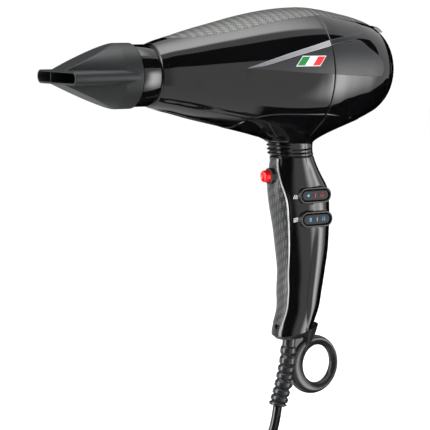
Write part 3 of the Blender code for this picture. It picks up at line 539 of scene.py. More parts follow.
PANEL_BOTTOM = [(-67, 4.7), (-42, 2.8), (-25, 1.3), (-0.3, -0.3), (0.3, -0.35), (13.5, -1.3), (33, -2.4),
                (47, -3.2), (50.3, -2.4), (52, 0.8)]
PANEL_TOP_FRONT = [(-67, 4.9), (-56, 6.2), (-42, 9.9), (-24, 14.6), (-0.3, 20.0)]
PANEL_TOP_REAR = [(0.3, 20.5), (18, 23.2), (27, 24.3), (30, 24.0), (38, 18.4), (46, 13.2), (50, 10.0),
                  (52, 6.4)]
BAND_TOP = [(-69, 5.0), (-54, 9.9), (-36, 15.3), (-10, 22.0), (-0.3, 24.4)]
BAND_BOTTOM = [(-69, 4.8), (-56, 6.5), (-42, 10.2), (-24, 14.9), (-0.3, 20.3)]
TAIL_TOP = [(0.3, 24.6), (21, 27.8), (38.5, 30.3)]
TAIL_BOTTOM = [(0.3, 20.8), (18, 23.5), (28, 24.9), (38.5, 30.1)]

# Soft-touch satin paint: dark grey, with a fine even grain that spreads highlights.
satin_panel = mottled("satin_painted_panel", "#1f2022", "#2a2b2e", 1400.0, 0.42, bump=0.25, detail=2.0,
                      distance=0.0001, IOR=1.48)

# Brushed silver foil, with painted light: its colour is painted bright near the seam and darker grey
# towards the band's tip, as the light falls along it.
silver_foil, tree, shader = new_material("brushed_silver_foil", Metallic=0.3, Roughness=0.42)
where = add_node(tree, "ShaderNodeTexCoord")
stretch = add_node(tree, "ShaderNodeMapping", {
    "Vector": where.outputs["Object"], "Scale": (60.0, 2500.0, 2500.0)})
brushing = add_node(tree, "ShaderNodeTexNoise", {"Vector": stretch, "Scale": 1.0, "Detail": 2.0})
place_on_band = add_node(tree, "ShaderNodeSeparateXYZ", {"Vector": where.outputs["Object"]})
# painted light: the foil's colour darkens from the seam towards the tip
fade = add_node(tree, "ShaderNodeMapRange", {
    "Value": place_on_band.outputs["X"], "From Min": -0.066, "From Max": -0.004})
tone = add_node(tree, "ShaderNodeMix", {
    "Factor": fade, "A": srgb("#4a4b50"), "B": srgb("#b8b8ba")}, data_type="RGBA")
wire_up(tree, shader,
        Base_Color=add_node(tree, "ShaderNodeMix", {
            "Factor": brushing, "A": tone, "B": srgb("#7e7f83")}, data_type="RGBA"),
        Normal=add_node(tree, "ShaderNodeBump",
                        {"Height": brushing, "Strength": 0.2, "Distance": 0.00005}))

# The band's tail on the rear shell is smoked: the same foil under dark lacquer.
smoked_foil = mottled("smoked_foil", "#2e2f32", "#47484c", 400.0, 0.3, 0.6, bump=0, detail=2.0)

for side, far_side in (("left", False), ("right", True)):
    front_panel, _ = inlaid_patch(-66.5, -INSERT_GAP, PANEL_BOTTOM, PANEL_TOP_FRONT, 0.12,
                                  far_side=far_side)
    rear_panel, _ = inlaid_patch(INSERT_GAP, 52, PANEL_BOTTOM, PANEL_TOP_REAR, 0.12, far_side=far_side)
    band, _ = inlaid_patch(-68.5, -INSERT_GAP, BAND_BOTTOM, BAND_TOP, 0.3, far_side=far_side, columns=8)
    band_tail, _ = inlaid_patch(INSERT_GAP, 38.5, TAIL_BOTTOM, TAIL_TOP, 0.3, far_side=far_side,
                                columns=8)
    make_piece(f"panel_{side}_front", [front_panel], satin_panel, "dryer",
               [f"side_panel_{side}_front"])
    make_piece(f"panel_{side}_rear", [rear_panel], satin_panel, "dryer",
               [f"side_panel_{side}_rear"])
    make_piece(f"band_{side}", [band], silver_foil, "dryer", [f"accent_band_{side}"])
    make_piece(f"band_tail_{side}", [band_tail], smoked_foil, "dryer")


# ---- Top strip ----
# A carbon-look film under clear lacquer along the top of the barrel, in two parts that meet at the
# ring seam. The film is printed as a twill of tows, about 2 mm wide, with painted light on the tows:
# each is painted lighter along its crown and darker at its sides, and the tows that cross over are
# painted brighter than those under them.

STRIP_EDGE = [(-115.5, 5.5), (-104, 12.6), (-93, 17.2), (-80, 20.2), (-63, 22.9), (-44, 24.3),
              (-25, 24.8), (-0.3, 23.2), (0.3, 23.1), (17, 21.6), (32, 20.6), (45, 17.6), (57, 13.6)]


def strip_angles(x):
    """Both long edges of the strip, the same distance each side of the top."""
    near = np.arccos(np.clip(curve_through(STRIP_EDGE, x) / barrel_radius(x), 0, 1))
    return near, np.pi - near


def twill(name, tow, light, dark, turn, roughness):
    """Twill weave: tows in two directions, each crossing over two and under two, one step on per row.

    Its colour carries painted light: each tow is lighter along its crown, and the tows that cross
    over are brighter than those under them.
    """
    made, tree, shader = new_material(name, IOR=1.5, Roughness=roughness)
    shader.inputs["Specular IOR Level"].default_value = 0.3
    shader.inputs["Coat Weight"].default_value = 0.12
    shader.inputs["Coat Roughness"].default_value = 0.12
    source = add_node(tree, "ShaderNodeUVMap", uv_map="UVMap")
    laid = add_node(tree, "ShaderNodeMapping", {"Vector": source, "Rotation": (0, 0, math.radians(turn)),
                                               "Scale": (1 / tow, 1 / tow, 1)})
    along = add_node(tree, "ShaderNodeSeparateXYZ", {"Vector": laid})

    u, v = along.outputs["X"], along.outputs["Y"]
    whole_u = add_node(tree, "ShaderNodeMath", {0: u}, operation="FLOOR")
    whole_v = add_node(tree, "ShaderNodeMath", {0: v}, operation="FLOOR")
    step = add_node(tree, "ShaderNodeMath", {0: whole_u, 1: whole_v}, operation="ADD")
    place_of_four = add_node(tree, "ShaderNodeMath", {0: step, 1: 4.0}, operation="FLOORED_MODULO")
    over = add_node(tree, "ShaderNodeMath", {0: place_of_four, 1: 1.5}, operation="LESS_THAN")
    crowns = []
    for across in (u, v):
        share = add_node(tree, "ShaderNodeMath", {0: across}, operation="FRACT")
        angle = add_node(tree, "ShaderNodeMath", {0: share, 1: math.pi}, operation="MULTIPLY")
        crowns.append(add_node(tree, "ShaderNodeMath", {0: angle}, operation="SINE"))
    # painted highlight: each tow is coloured lighter along its crown and darker at its sides
    crown = add_node(tree, "ShaderNodeMix", {"Factor": over, "A": crowns[0], "B": crowns[1]},
                     data_type="FLOAT")
    # painted sheen: the tows that cross over are coloured brighter than those under them
    gain = add_node(tree, "ShaderNodeMath", {0: over, 1: 0.45}, operation="MULTIPLY")
    shine = add_node(tree, "ShaderNodeMath", {0: gain, 1: 0.5}, operation="ADD")
    level = add_node(tree, "ShaderNodeMath", {0: crown, 1: shine}, operation="MULTIPLY")
    tone = add_node(tree, "ShaderNodeMix", {
        "Factor": level, "A": srgb(dark), "B": srgb(light)}, data_type="RGBA")
    wire_up(tree, shader, Base_Color=tone,
            Normal=add_node(tree, "ShaderNodeBump",
                            {"Height": level, "Strength": 0.5, "Distance": 0.00025}))
    return made


TOW = 0.0021
strip_twill = twill("carbon_look_film", TOW, "#6e706d", "#0b0c0c", 45, 0.36)
for end, x_from, x_to in (("front", -115.5, -INSERT_GAP), ("rear", INSERT_GAP, 57)):
    strip, strip_uv = inlaid_patch(x_from, x_to, None, None, 0.14, rows=80, columns=40,
                                   as_angles=strip_angles)
    make_piece(f"strip_{end}", [strip], strip_twill, "dryer", [f"top_strip_{end}"],
               uv=strip_uv)


# ---- Badge ----
# A small printed parallelogram on the side panel: plain green, white and red fields with a pale edge.

BADGE_CORNERS = (-32.4, -12.9, -26.2)       # x of lower left, lower right and upper left corner
BADGE_LOW, BADGE_HIGH = 5.9, 13.3


def printed_field(start, end, low, high, proud):
    """A slanted field between two shares of the badge's length, laid on the panel."""
    along = np.linspace(start, end, 12)[:, None]
    up = np.linspace(low, high, 8)[None, :]
    left, right, upper_left = BADGE_CORNERS
    x = left + (upper_left - left) * up + (right - left) * along
    z = BADGE_LOW + (BADGE_HIGH - BADGE_LOW) * up + 0 * x
    angle = angle_at_height(x, z)
    return wall(on_barrel(x, angle, proud), on_barrel(x, angle, 0.0), False)


for name, code, start, end, low, high, proud in (
        ("badge_edge", "#d8d8da", 0.0, 1.0, 0.0, 1.0, 0.24),
        ("badge_green", "#0a7a34", 0.03, 0.34, 0.08, 0.92, 0.30),
        ("badge_white", "#f2f2f0", 0.34, 0.66, 0.08, 0.92, 0.29),
        ("badge_red", "#d5202a", 0.66, 0.97, 0.08, 0.92, 0.30)):
    ink = mottled(f"{name}_ink", code, 0.8, 900.0, 0.35, bump=0, detail=2.0)
    make_piece(name, [printed_field(start, end, low, high, proud)], ink, "dryer")


# ---- Intake cap ----
# A gloss ABS cap that pulls off backwards for cleaning: a domed rim with a finger tab, a grille of
# rings and spokes, and a stainless gauze behind it.

CAP_DOME = [(60.2, 33.6), (63, 31.9), (66, 29.6), (69, 26.4), (71, 22.6), (72.4, 17.6), (73.2, 10),
            (73.5, 0)]


def dome_x(radius):
    """The dome's position along the barrel at a radius."""
    return curve_through([(r, x) for x, r in CAP_DOME[::-1]], radius)


rim_radius = np.linspace(33.4, 25.4, 12)
cap_rim = [(54.5, 31.1), (54.9, 31.2), (60.1, 31.2), (60.1, 33.2), (60.4, 33.6)]
cap_rim += [(dome_x(r), r) for r in rim_radius]
cap_rim += [(dome_x(25.1) - 0.4, 25.0), (dome_x(25.1) - 1.8, 25.2), (64, 28.4), (60, 29.7), (54.5, 29.7)]
cap_bodies = [turned_section(cap_rim)]
for radius in (23.2, 20.6, 18.0, 15.4, 12.8, 10.2):
    turn = np.linspace(0, 2 * np.pi, 13)[:-1]
    cap_bodies.append(turned_section(np.stack([dome_x(radius) - 1.0 + 0.8 * np.sin(turn),
                                               radius + 0.5 * np.cos(turn)], -1)))
hub_radius = np.array([8.4, 7.9, 7.0, 4.0, 0.02])
cap_bodies.append(turned_section([(dome_x(8.4) - 1.6, 0.02), (dome_x(8.4) - 1.6, 8.2)]
                                 + [(dome_x(r) + (-0.3 if r > 8 else 0), r) for r in hub_radius]))
for number in range(8):
    angle = 2 * np.pi * number / 8
    radius = np.linspace(7.6, 25.6, 24)[:, None]
    across = np.array([-0.9, -0.9, -0.55, 0.55, 0.9, 0.9])
    depth = np.array([-2.2, -0.5, -0.15, -0.15, -0.5, -2.2])
    x = dome_x(radius) + depth
    y = radius * np.cos(angle) - across * np.sin(angle)
    z = radius * np.sin(angle) + across * np.cos(angle)
    spoke = np.stack([x + 0 * y, y, z + rear_lift(x)], -1)
    ends = np.array([(0, 1, 2, 5), (2, 3, 4, 5)])
    cap_bodies.append((spoke.reshape(-1, 3),
                       np.concatenate([grid_faces(24, 6, True), ends, ends + 23 * 6])))
tab_x, tab_y = np.linspace(60.2, 68, 12)[:, None], np.linspace(-13, 13, 26)[None, :]
tab_top = (33.2 - 3.4 * ((tab_x - 60.2) / 7.8) ** 2 - 0.006 * tab_y ** 2
           - 0.5 * np.clip(np.abs(tab_y) - 12, 0, 1))
tab_outer = np.stack([tab_x + 0 * tab_y, tab_y + 0 * tab_x, tab_top + REAR_LIFT], -1)
tab_inner = np.stack([tab_x + 0 * tab_y, tab_y + 0 * tab_x, 27.6 + REAR_LIFT + 0 * tab_top], -1)
cap_bodies.append(wall(tab_outer, tab_inner, False))
make_piece("intake_cap", cap_bodies, gloss_abs, "filter_cap", ["filter_cap"])


def refinish(material, *nodes):
    """Give CAD parts whose shape is right their real finish."""
    for name in nodes:
        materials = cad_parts[name].data.materials
        materials.clear()
        materials.append(material)


# Stainless gauze: fine crossed wires, with the holes between them painted near black, as painted shade of
# the dark inside seen through them.
steel_gauze, tree, shader = new_material("steel_gauze", Metallic=0.8, Roughness=0.4)
where = add_node(tree, "ShaderNodeTexCoord")
crossing = add_node(tree, "ShaderNodeSeparateXYZ", {"Vector": where.outputs["Object"]})
WIRE_SPACING = 0.0012
wires = []
for axis in "YZ":
    phase = add_node(tree, "ShaderNodeMath", {
        0: crossing.outputs[axis], 1: 2 * math.pi / WIRE_SPACING}, operation="MULTIPLY")
    wires.append(add_node(tree, "ShaderNodeMath", {0: phase}, operation="SINE"))
mesh_height = add_node(tree, "ShaderNodeMath", {0: wires[0], 1: wires[1]}, operation="MAXIMUM")
# painted shade: near black where the holes are, light grey on the wires
wire_up(tree, shader,
        Base_Color=add_node(tree, "ShaderNodeMix", {
            "Factor": mesh_height, "A": srgb("#050505"), "B": srgb("#8d8f92")}, data_type="RGBA"),
        Normal=add_node(tree, "ShaderNodeBump",
                        {"Height": mesh_height, "Strength": 0.6, "Distance": 0.0003}))
refinish(steel_gauze, "filter_mesh")


# ---- Concentrator nozzle ----
# One moulding in glass-filled nylon with a fine matt spark-eroded skin. A round socket is cut by two
# sloping flats, and a flat slot with round ends runs back along both sides as a fading bulge.

NOZZLE_MOUTH, NOZZLE_BACK = -200.0, -143.3
NOZZLE_WALL = 1.3
SOCKET_RADIUS = 23.2
CONE_START = -157.0     # the socket narrows in front of this
FLATS_END = -151.0      # the sloping flats cut it in front of this
SLOT_HALF_WIDTH = [(-200, 30.3), (-190, 29.5), (-178, 28.0), (-165, 26.4), (-155, 25.0), (-148, 23.6),
                   (-143, 22.4)]
SLOT_HALF_HEIGHT = 4.8
FLAT_SLOPE = 18.6 / 41.0


def pill_reach(half_width, half_height, c, s):
    """How far a slot with round ends reaches from its centre in a direction."""
    straight = half_width - half_height
    c, s = np.abs(c), np.maximum(np.abs(s), 1e-6)
    flat = half_height / s
    root = np.sqrt(np.clip(half_height ** 2 - (straight * s) ** 2, 0, None))
    return np.where(flat * c <= straight, flat, straight * c + root)


def soft_max(a, b, blend):
    """The larger of two, with the corner between them rounded off."""
    return 0.5 * (a + b + np.sqrt((a - b) ** 2 + blend ** 2))


def nozzle_skin(x, angle, inward=0.0):
    """The nozzle's reach from its axis: the socket cut by two sloping flats, or the slot if larger."""
    c, s = np.cos(angle), np.sin(angle)
    cone = SOCKET_RADIUS - inward - 0.32 * np.clip(CONE_START - x, 0, None) * (1 - 0.4 * np.abs(s))
    flat = ((SLOT_HALF_HEIGHT - 0.4 - inward + FLAT_SLOPE * (x - NOZZLE_MOUTH))
            / np.maximum(np.abs(s), 1e-6))
    body = np.where(x < FLATS_END, -soft_max(-cone, -flat, 0.5), cone)
    slot = pill_reach(curve_through(SLOT_HALF_WIDTH, x) - inward, SLOT_HALF_HEIGHT - inward, c, s)
    return soft_max(body, slot, 0.35)


nozzle_angle = np.linspace(0, 2 * np.pi, 361)[:-1]
slot_crowd = 0.16 * np.sin(2 * nozzle_angle)        # columns crowd towards the slot's round ends
nozzle_angle = (nozzle_angle - slot_crowd)[None, :]
nozzle_x = np.concatenate([
    [NOZZLE_MOUTH, NOZZLE_MOUTH + 0.15, NOZZLE_MOUTH + 0.5], np.linspace(-198.5, -144.6, 120),
    [-144.0, -143.6, NOZZLE_BACK]])[:, None]
nozzle_drop = np.zeros_like(nozzle_x)
nozzle_drop[[0, 1, -3, -2, -1]] = [[0.35], [0.12], [0.05], [0.4], [1.2]]
reach = nozzle_skin(nozzle_x, nozzle_angle) - nozzle_drop
reach[:2] = nozzle_skin(nozzle_x[:2], nozzle_angle, nozzle_drop[:2])
nozzle_outer = np.stack([nozzle_x + 0 * reach, -reach * np.cos(nozzle_angle),
                         reach * np.sin(nozzle_angle)], -1)
inside = nozzle_skin(nozzle_x, nozzle_angle, NOZZLE_WALL)
inside = np.where(nozzle_x > -162, np.minimum(inside, 21.3), inside)        # a round bore for the snout
nozzle_inner = np.stack([nozzle_x + 0 * inside, -inside * np.cos(nozzle_angle),
                         inside * np.sin(nozzle_angle)], -1)
vane_x, vane_z = np.linspace(-198.2, -176, 8)[:, None], np.linspace(-3.6, 3.6, 4)[None, :]
vane = [np.stack([vane_x + 0 * vane_z, y + 0 * vane_z + 0 * vane_x, vane_z + 0 * vane_x], -1)
        for y in (12.0, 12.9)]

matt_nylon, tree, shader = new_material("spark_eroded_nylon", IOR=1.53, Roughness=0.5,
                                        Specular_IOR_Level=0.3)
where = add_node(tree, "ShaderNodeTexCoord")
spark = add_node(tree, "ShaderNodeTexNoise", {
    "Vector": where.outputs["Object"], "Scale": 1800.0, "Detail": 2.0})
cloud = add_node(tree, "ShaderNodeTexNoise", {"Vector": where.outputs["Object"], "Scale": 60.0})
wire_up(tree, shader,
        Base_Color=add_node(tree, "ShaderNodeMix", {
            "Factor": cloud, "A": srgb("#151718"), "B": srgb("#1c1e1f")}, data_type="RGBA"),
        Normal=add_node(tree, "ShaderNodeBump", {"Height": spark, "Strength": 0.3, "Distance": 0.0001}))
make_piece("slot_nozzle", [wall(nozzle_outer, nozzle_inner, True), wall(*vane, False)], matt_nylon,
           "nozzle", ["nozzle"])


# ---- Handle ----
# Two gloss ABS shells, screwed together along a parting line, that flare into a saddle under the
# barrel. The front one has soft ribs under the barrel and is let in under the rocker switches.

HANDLE = [      # (z, centre along x, half length, half width)
    (-200, -4.8, 15.3, 13.6), (-195, -4.6, 15.4, 13.8), (-188, -2.5, 15.6, 14.2), (-179, 0.6, 16.0, 14.5),
    (-165, 2.1, 17.4, 15.0), (-150, 3.7, 18.4, 15.5), (-134, 4.2, 20.6, 16.0), (-119, 3.6, 22.1, 16.5),
    (-110, 2.9, 23.1, 16.8), (-100, 1.8, 24.0, 17.0), (-92, 0.9, 24.3, 17.0), (-86, -0.2, 23.7, 17.0),
    (-78, -2.4, 21.0, 16.5), (-70, -4.2, 18.2, 15.9), (-64, -5.3, 16.6, 15.5), (-58, -6.2, 16.2, 15.1),
    (-53, -6.6, 16.6, 15.0), (-48, -6.8, 17.5, 15.0)]
ROUNDNESS = 2.2
NECK_TOP = -53.0
PARTING = [(-206, -0.4), (-184, -0.4), (-172, -0.3), (-151, 1.5), (-132, 3.4), (-114, 5.2), (-98, 5.0),
           (-84, 2.4), (-62, -3.1), (-50, -3.5)]
FOOT_LINE = (-193.95, 0.234)        # height of the sloping bottom edge at x = 0, and its slope
SADDLE_MIDDLE, SADDLE_FRONT, SADDLE_REAR = -3.0, 61.5, 56.6
SADDLE_SPREAD = math.radians(52)    # how far up each side of the barrel the saddle reaches


def oval_point(angle, roundness):
    """A point on the unit superellipse, by its angle."""
    c, s = np.cos(angle), np.sin(angle)
    reach = (np.abs(c) ** roundness + np.abs(s) ** roundness) ** (-1 / roundness)
    return reach * c, reach * s


def handle_section(z):
    """The grip's centre, half length and half width at a height, each on a smooth curve."""
    rows = np.array(HANDLE)
    return [curve_through(np.column_stack([rows[:, 0], rows[:, i]]), z) for i in (1, 2, 3)]


def on_handle(angle, z, proud=0.0):
    """A point on the grip at an angle from +X round by the switch side, -Y."""
    centre, half_length, half_width = handle_section(z)
    c, s = oval_point(angle, ROUNDNESS)
    normal_x, normal_y = c / half_length, s / half_width
    size = np.hypot(normal_x, normal_y)
    return np.stack([centre + half_length * c + proud * normal_x / size,
                     -(half_width * s + proud * normal_y / size), z + 0 * angle], -1)


def angle_at_x(x, z):
    """The angle at which the grip's switch side reaches a place along the barrel's direction."""
    centre, half_length, _ = handle_section(z)
    c = np.clip((x - centre) / half_length, -0.999, 0.999)
    s = (1 - np.abs(c) ** ROUNDNESS) ** (1 / ROUNDNESS)
    return np.arctan2(s, c)


def saddle_point(angle, proud=0.0):
    """The saddle's edge on the barrel: a half oval, blunter at its front end."""
    front = np.cos(angle) < 0
    c, s = oval_point(angle, np.where(front, 3.8, 1.6))
    x = SADDLE_MIDDLE + np.where(front, SADDLE_FRONT, SADDLE_REAR) * c
    return on_barrel(x, SADDLE_SPREAD * s - np.pi / 2, proud), x, SADDLE_SPREAD * s


def flare_point(angle, rise, proud=0.0):
    """From the neck, at rise 0, a curve that leaves upwards and lands along the barrel at rise 1."""
    neck = on_handle(angle, np.full_like(angle, NECK_TOP), proud)
    edge, x, spread = saddle_point(angle, 0.35 + 0.5 * proud)
    edge = edge * (1, -1, 1)
    neck = neck * (1, -1, 1)
    reach = np.linalg.norm((edge - neck)[..., :2], axis=-1, keepdims=True)
    up = np.array([0, 0, 1.0]) * (9 + 0.05 * reach)
    step = 0.02
    inner_x = SADDLE_MIDDLE + (x - SADDLE_MIDDLE) * (1 - step)
    before = on_barrel(inner_x, spread * (1 - step) - np.pi / 2, 0.35) * (1, -1, 1)
    along = edge - before
    along = along / np.linalg.norm(along, axis=-1, keepdims=True) * reach * 0.9
    t = rise[..., None]
    point = ((1 + 2 * t) * (1 - t) ** 2 * neck + t * (1 - t) ** 2 * up
             + t * t * (3 - 2 * t) * edge + t * t * (t - 1) * along)
    return point * (1, -1, 1)


RIB_HEIGHTS = (-48.0, -51.0, -54.0, -57.0, -60.0)
GROOVES = (-56.9, -59.5)


def neck_relief(angle, z):
    """Ribs across the neck's front, two fine grooves round it, and the step above the grip."""
    front = np.clip((-np.cos(angle) - 0.42) / 0.3, 0, 1)
    front = front * front * (3 - 2 * front)
    ribs = sum(np.exp(-((z - height) / 0.85) ** 2) for height in RIB_HEIGHTS)
    grooves = sum(np.exp(-((z - height) / 0.4) ** 2) for height in GROOVES)
    return 1.7 * front * ribs - 0.45 * (1 - front) * grooves - 0.7 * np.exp(-((z + 62.1) / 0.4) ** 2)


SWITCHES = {"heat": (3.9, -91.1), "speed": (5.3, -109.2)}       # (x, z) of the centre
BEZEL_LENGTH, BEZEL_HEIGHT = 28.4, 12.0


def switch_pockets(angle, z):
    """How deep the grip is let in under each bezel, so that its key can rock."""
    centre, half_length, _ = handle_section(z)
    x = centre + half_length * oval_point(angle, ROUNDNESS)[0]
    depth = 0 * x
    for centre_x, centre_z in SWITCHES.values():
        beyond = np.maximum(np.abs(x - centre_x) - (BEZEL_LENGTH - BEZEL_HEIGHT) / 2, 0)
        inside = BEZEL_HEIGHT / 2 - 0.5 - np.hypot(beyond, z - centre_z)
        depth = np.maximum(depth, np.clip(inside / 0.6, 0, 1) * (np.sin(angle) > 0))
    return 2.3 * depth


INLAY_EDGE = [(-196, -18.8), (-189, -17.2), (-179, -14.0), (-165, -13.2), (-137, -13.4), (-107.6, -15.9),
              (-94, -17.9), (-83, -20.7), (-71.6, -21.7), (-64.5, -21.3), (-60, -21.1)]
INLAY_TOP, INLAY_BOTTOM = -63.4, -189.5


def handle_shell(name, front):
    """One half of the handle: grip and flare rows, with rolled edges along the parting line."""
    count = 150 if front else 90
    share = span_with_edges(0.0, 1.0, count, 0.0)
    share[[1, 2, -3, -2]] = 0.0022, 0.006, 0.994, 0.9978
    roll = np.zeros_like(share)
    roll[[0, 1, -2, -1]] = 1.0, 0.2, 0.2, 1.0
    ribs_from = 0.925       # the rows crowd together above this share of the height, for the ribs
    up = np.concatenate([np.linspace(0, ribs_from, 106)[:-1], np.linspace(ribs_from, 1, 36)])[:, None]
    column_turn = np.pi * (0.5 + share) if front else np.pi * (share - 0.5)
    foot = FOOT_LINE[0] + FOOT_LINE[1] * (-4 + 15 * np.cos(column_turn))
    z = foot + (NECK_TOP - foot) * up
    near = angle_at_x(curve_through(PARTING, z[:, :1]), z)
    start, end = (near, 2 * np.pi - near) if front else (-near, near)
    gap = 0.02              # radians from the parting line to the shell
    angle = start + gap + (end - start - 2 * gap) * share
    relief = neck_relief(angle, z) - switch_pockets(angle, z)
    if front:
        edge = angle_at_x(curve_through(INLAY_EDGE, z), z)
        for side_edge in (edge, 2 * np.pi - edge):
            away = (angle - side_edge) * (1 if side_edge is edge else -1)
            inside_height = (np.clip((INLAY_TOP + 0.5 - z) / 0.8, 0, 1)
                             * np.clip((z - INLAY_BOTTOM + 0.5) / 0.8, 0, 1))
            relief = relief + inside_height * (0.35 * np.exp(-((away + 0.065) / 0.065) ** 2))
    else:
        behind = 15 * np.minimum(angle - start, end - angle)
        relief = relief - 0.9 * np.exp(-(behind / 3.2) ** 2) * np.clip((-64 - z) / 8, 0, 1)
    grip, grip_angle = on_handle(angle, z, relief - roll), angle
    rise = (np.linspace(0, 1, 46)[1:] ** 1.15)[:, None] + 0 * share
    side = curve_through([(0, float(near[-1, 0])), (1, math.radians(88))], rise)
    start, end = (side, 2 * np.pi - side) if front else (-side, side)
    angle = start + gap + (end - start - 2 * gap) * share
    flare = flare_point(angle, rise)
    lift = neck_relief(angle, flare[..., 2]) * np.clip(1 - rise * 2.2, 0, 1) - roll * (1 - rise)
    flare = flare_point(angle, rise, lift)
    outer = np.concatenate([grip, flare])
    heart = np.concatenate([on_handle(grip_angle, z, -2.6), flare + (0, 0, 1.2)])
    make_piece(name, [wall(outer, heart, False)], gloss_abs, "dryer",
               ["handle_front_shell" if front else "handle_rear_shell"], sharp=50)


handle_shell("grip_front_shell", True)
handle_shell("grip_rear_shell", False)

# Carbon-look film inlay, down the front of the grip.
grip_twill = twill("grip_carbon_film", TOW, "#4c4e4c", "#090a0a", 12, 0.38)
inlay_z = span_with_edges(INLAY_BOTTOM, INLAY_TOP, 120)[:, None]
inlay_share = span_with_edges(0.0, 1.0, 48, 0.006)
inlay_start = angle_at_x(curve_through(INLAY_EDGE, inlay_z), inlay_z) + 0.02
inlay_angle = inlay_start + (2 * np.pi - 2 * inlay_start) * inlay_share
inlay_drop = np.zeros_like(inlay_angle)
inlay_drop[[0, -1]] = 0.4
inlay_drop[:, [0, -1]] = 0.4
inlay_outer = on_handle(inlay_angle, inlay_z, 0.35 - inlay_drop)
inlay_inner = on_handle(inlay_angle, inlay_z, -0.7)
inlay_radius = 17
inlay_around = (inlay_angle - np.pi) * inlay_radius
inlay_uv = np.stack([inlay_z + 0 * inlay_around, inlay_around], -1).reshape(-1, 2) * MM
make_piece("grip_film", [wall(inlay_outer, inlay_inner, False)], grip_twill, "dryer",
           ["grip_inlay"], uv=np.concatenate([inlay_uv, inlay_uv]))

# A raised bead along both long edges of the film, coloured pale silver: the colour is a painted
# highlight, the bright line that the grip's glossy edge catches.
# pale silver painted on as the glossy edge's highlight
rim_highlight_paint = mottled("rim_highlight_paint", "#c8c9cb", "#a2a3a6", 60.0, 0.3, 0.5, bump=0, detail=2.0)
bead_share = np.linspace(0, 1, 9)
bead_angle = inlay_start - 0.072 + 0.066 * bead_share
bead_crown = 0.25 + 0.6 * np.sin(np.pi * bead_share) + 0 * bead_angle
bead_crown[[0, -1]] = 0
beads = [wall(on_handle(angle, inlay_z, bead_crown), on_handle(angle, inlay_z, -0.5), False)
         for angle in (bead_angle, 2 * np.pi - bead_angle)]
make_piece("grip_film_highlight_rim", beads, rim_highlight_paint, "dryer")


# ---- Rocker switches ----
# Two three-position rockers in pill-shaped bezels that stand out from the grip, in satin charcoal
# plastic. Each key carries printed generic marks for its positions.

KEY_LENGTH, KEY_HEIGHT = 23.8, 7.8
KEY_FACE, KEY_BACK = -18.3, -16.4
KEY_ROUNDING = 0.8


def pill_edge(length, height, turn):
    """Points of a flat outline with half-round ends, evenly by angle on its ends."""
    c, s = np.cos(turn), np.sin(turn)
    straight = (length - height) / 2
    return np.sign(c) * straight * np.minimum(1, np.abs(c) * 12) + height / 2 * c, height / 2 * s


def pill_rings(centre, rings, sides=96):
    """A body whose closed section is a list of (length, height, y) pills, each joined to the next."""
    turn = 2 * np.pi * (np.arange(sides) + 0.5) / sides
    grid = []
    for length, height, y in rings:
        u, v = pill_edge(length, height, turn)
        grid.append(np.stack([centre[0] + u, np.full(sides, y), centre[1] + v], -1))
    return np.array(grid)


def pill_dome(centre, length, height, face, back, round_over):
    """A solid key: a flat face, a rounded front edge and a flat back."""
    turn = np.linspace(0, np.pi / 2, 7)
    rings = [(0.05 + (length - height), 0.05, back), (length, height, back)]
    rings += [(length - 2 * round_over * (1 - math.cos(a)), height - 2 * round_over * (1 - math.cos(a)),
               face + round_over * (1 - math.sin(a))) for a in turn]
    for share in (0.85, 0.6, 0.3, 0.02):
        inner = (height - 2 * round_over) * share
        rings.append((length - height + inner, inner, face))
    return ring_body(pill_rings(centre, rings))


key_plastic = mottled("satin_charcoal_key", "#17181a", "#202123", 1500.0, 0.4, bump=0.15, detail=2.0,
                      distance=0.0001, IOR=1.5, Specular_IOR_Level=0.2)
bezel_plastic = mottled("dark_bezel_plastic", "#0e0e10", "#17181a", 900.0, 0.2, bump=0, detail=2.0,
                        IOR=1.5)

ring_turn = np.linspace(0, 2 * np.pi, 25)[:-1]
MARKS = {
    "dot": ([(0.95 * math.cos(t), 0.95 * math.sin(t)) for t in ring_turn], None),
    "zero": ([(0.95 * math.cos(t), 1.45 * math.sin(t)) for t in ring_turn],
             [(0.5 * math.cos(t), 1.0 * math.sin(t)) for t in ring_turn]),
    "bar": ([(-0.28, -1.45), (0.28, -1.45), (0.28, 1.45), (-0.28, 1.45)], None),
    "wide_bar": ([(-1.3, 1.1), (1.3, 1.1), (1.3, 1.45), (-1.3, 1.45)], None),
    "low_bar": ([(-1.3, -1.45), (1.3, -1.45), (1.3, -1.1), (-1.3, -1.1)], None)}


def printed_mark(mark, u, v, face, depth=0.06):
    """A flat mark with its outline extruded; a zero is a ring between its two outlines."""
    outline, hole = (None if part is None else np.array(part) for part in MARKS[mark])
    hole = np.zeros_like(outline) + 1e-3 * outline if hole is None else hole
    levels = ((outline, face), (hole, face), (hole, face + depth), (outline, face + depth))
    grid = np.array([np.stack([u + edge[:, 0], np.full(len(edge), y), v + edge[:, 1]], -1)
                     for edge, y in levels])
    return ring_body(grid)


inks = {name: mottled(f"{name}_print", code, 0.75, 1200.0, 0.4, bump=0, detail=2.0)
        for name, code in (("blue", "#58b4ec"), ("red", "#c03238"), ("white", "#dcdcdc"))}
KEY_PRINT = {       # (mark, how far along the key, colour)
    "heat": [("dot", -6.3, "blue"), ("bar", 0, "red"), ("bar", 5.0, "red"), ("bar", 7.0, "red"),
             ("wide_bar", 6.0, "red"), ("low_bar", 6.0, "red")],
    "speed": [("zero", -5.6, "blue"), ("bar", 0.3, "blue"), ("bar", 5.0, "blue"), ("bar", 7.0, "blue"),
              ("wide_bar", 6.0, "blue"), ("low_bar", 6.0, "blue")]}
BEZEL_SECTION = [       # (drawn in from the outline, y)
    (0, -10.4), (0, -18.0), (0.4, -18.6), (1.1, -18.8), (1.8, -18.75), (2.1, -18.45),
    (2.4, -18.45), (2.7, -18.75), (3.1, -18.6), (3.2, -18.2), (3.2, -10.4)]
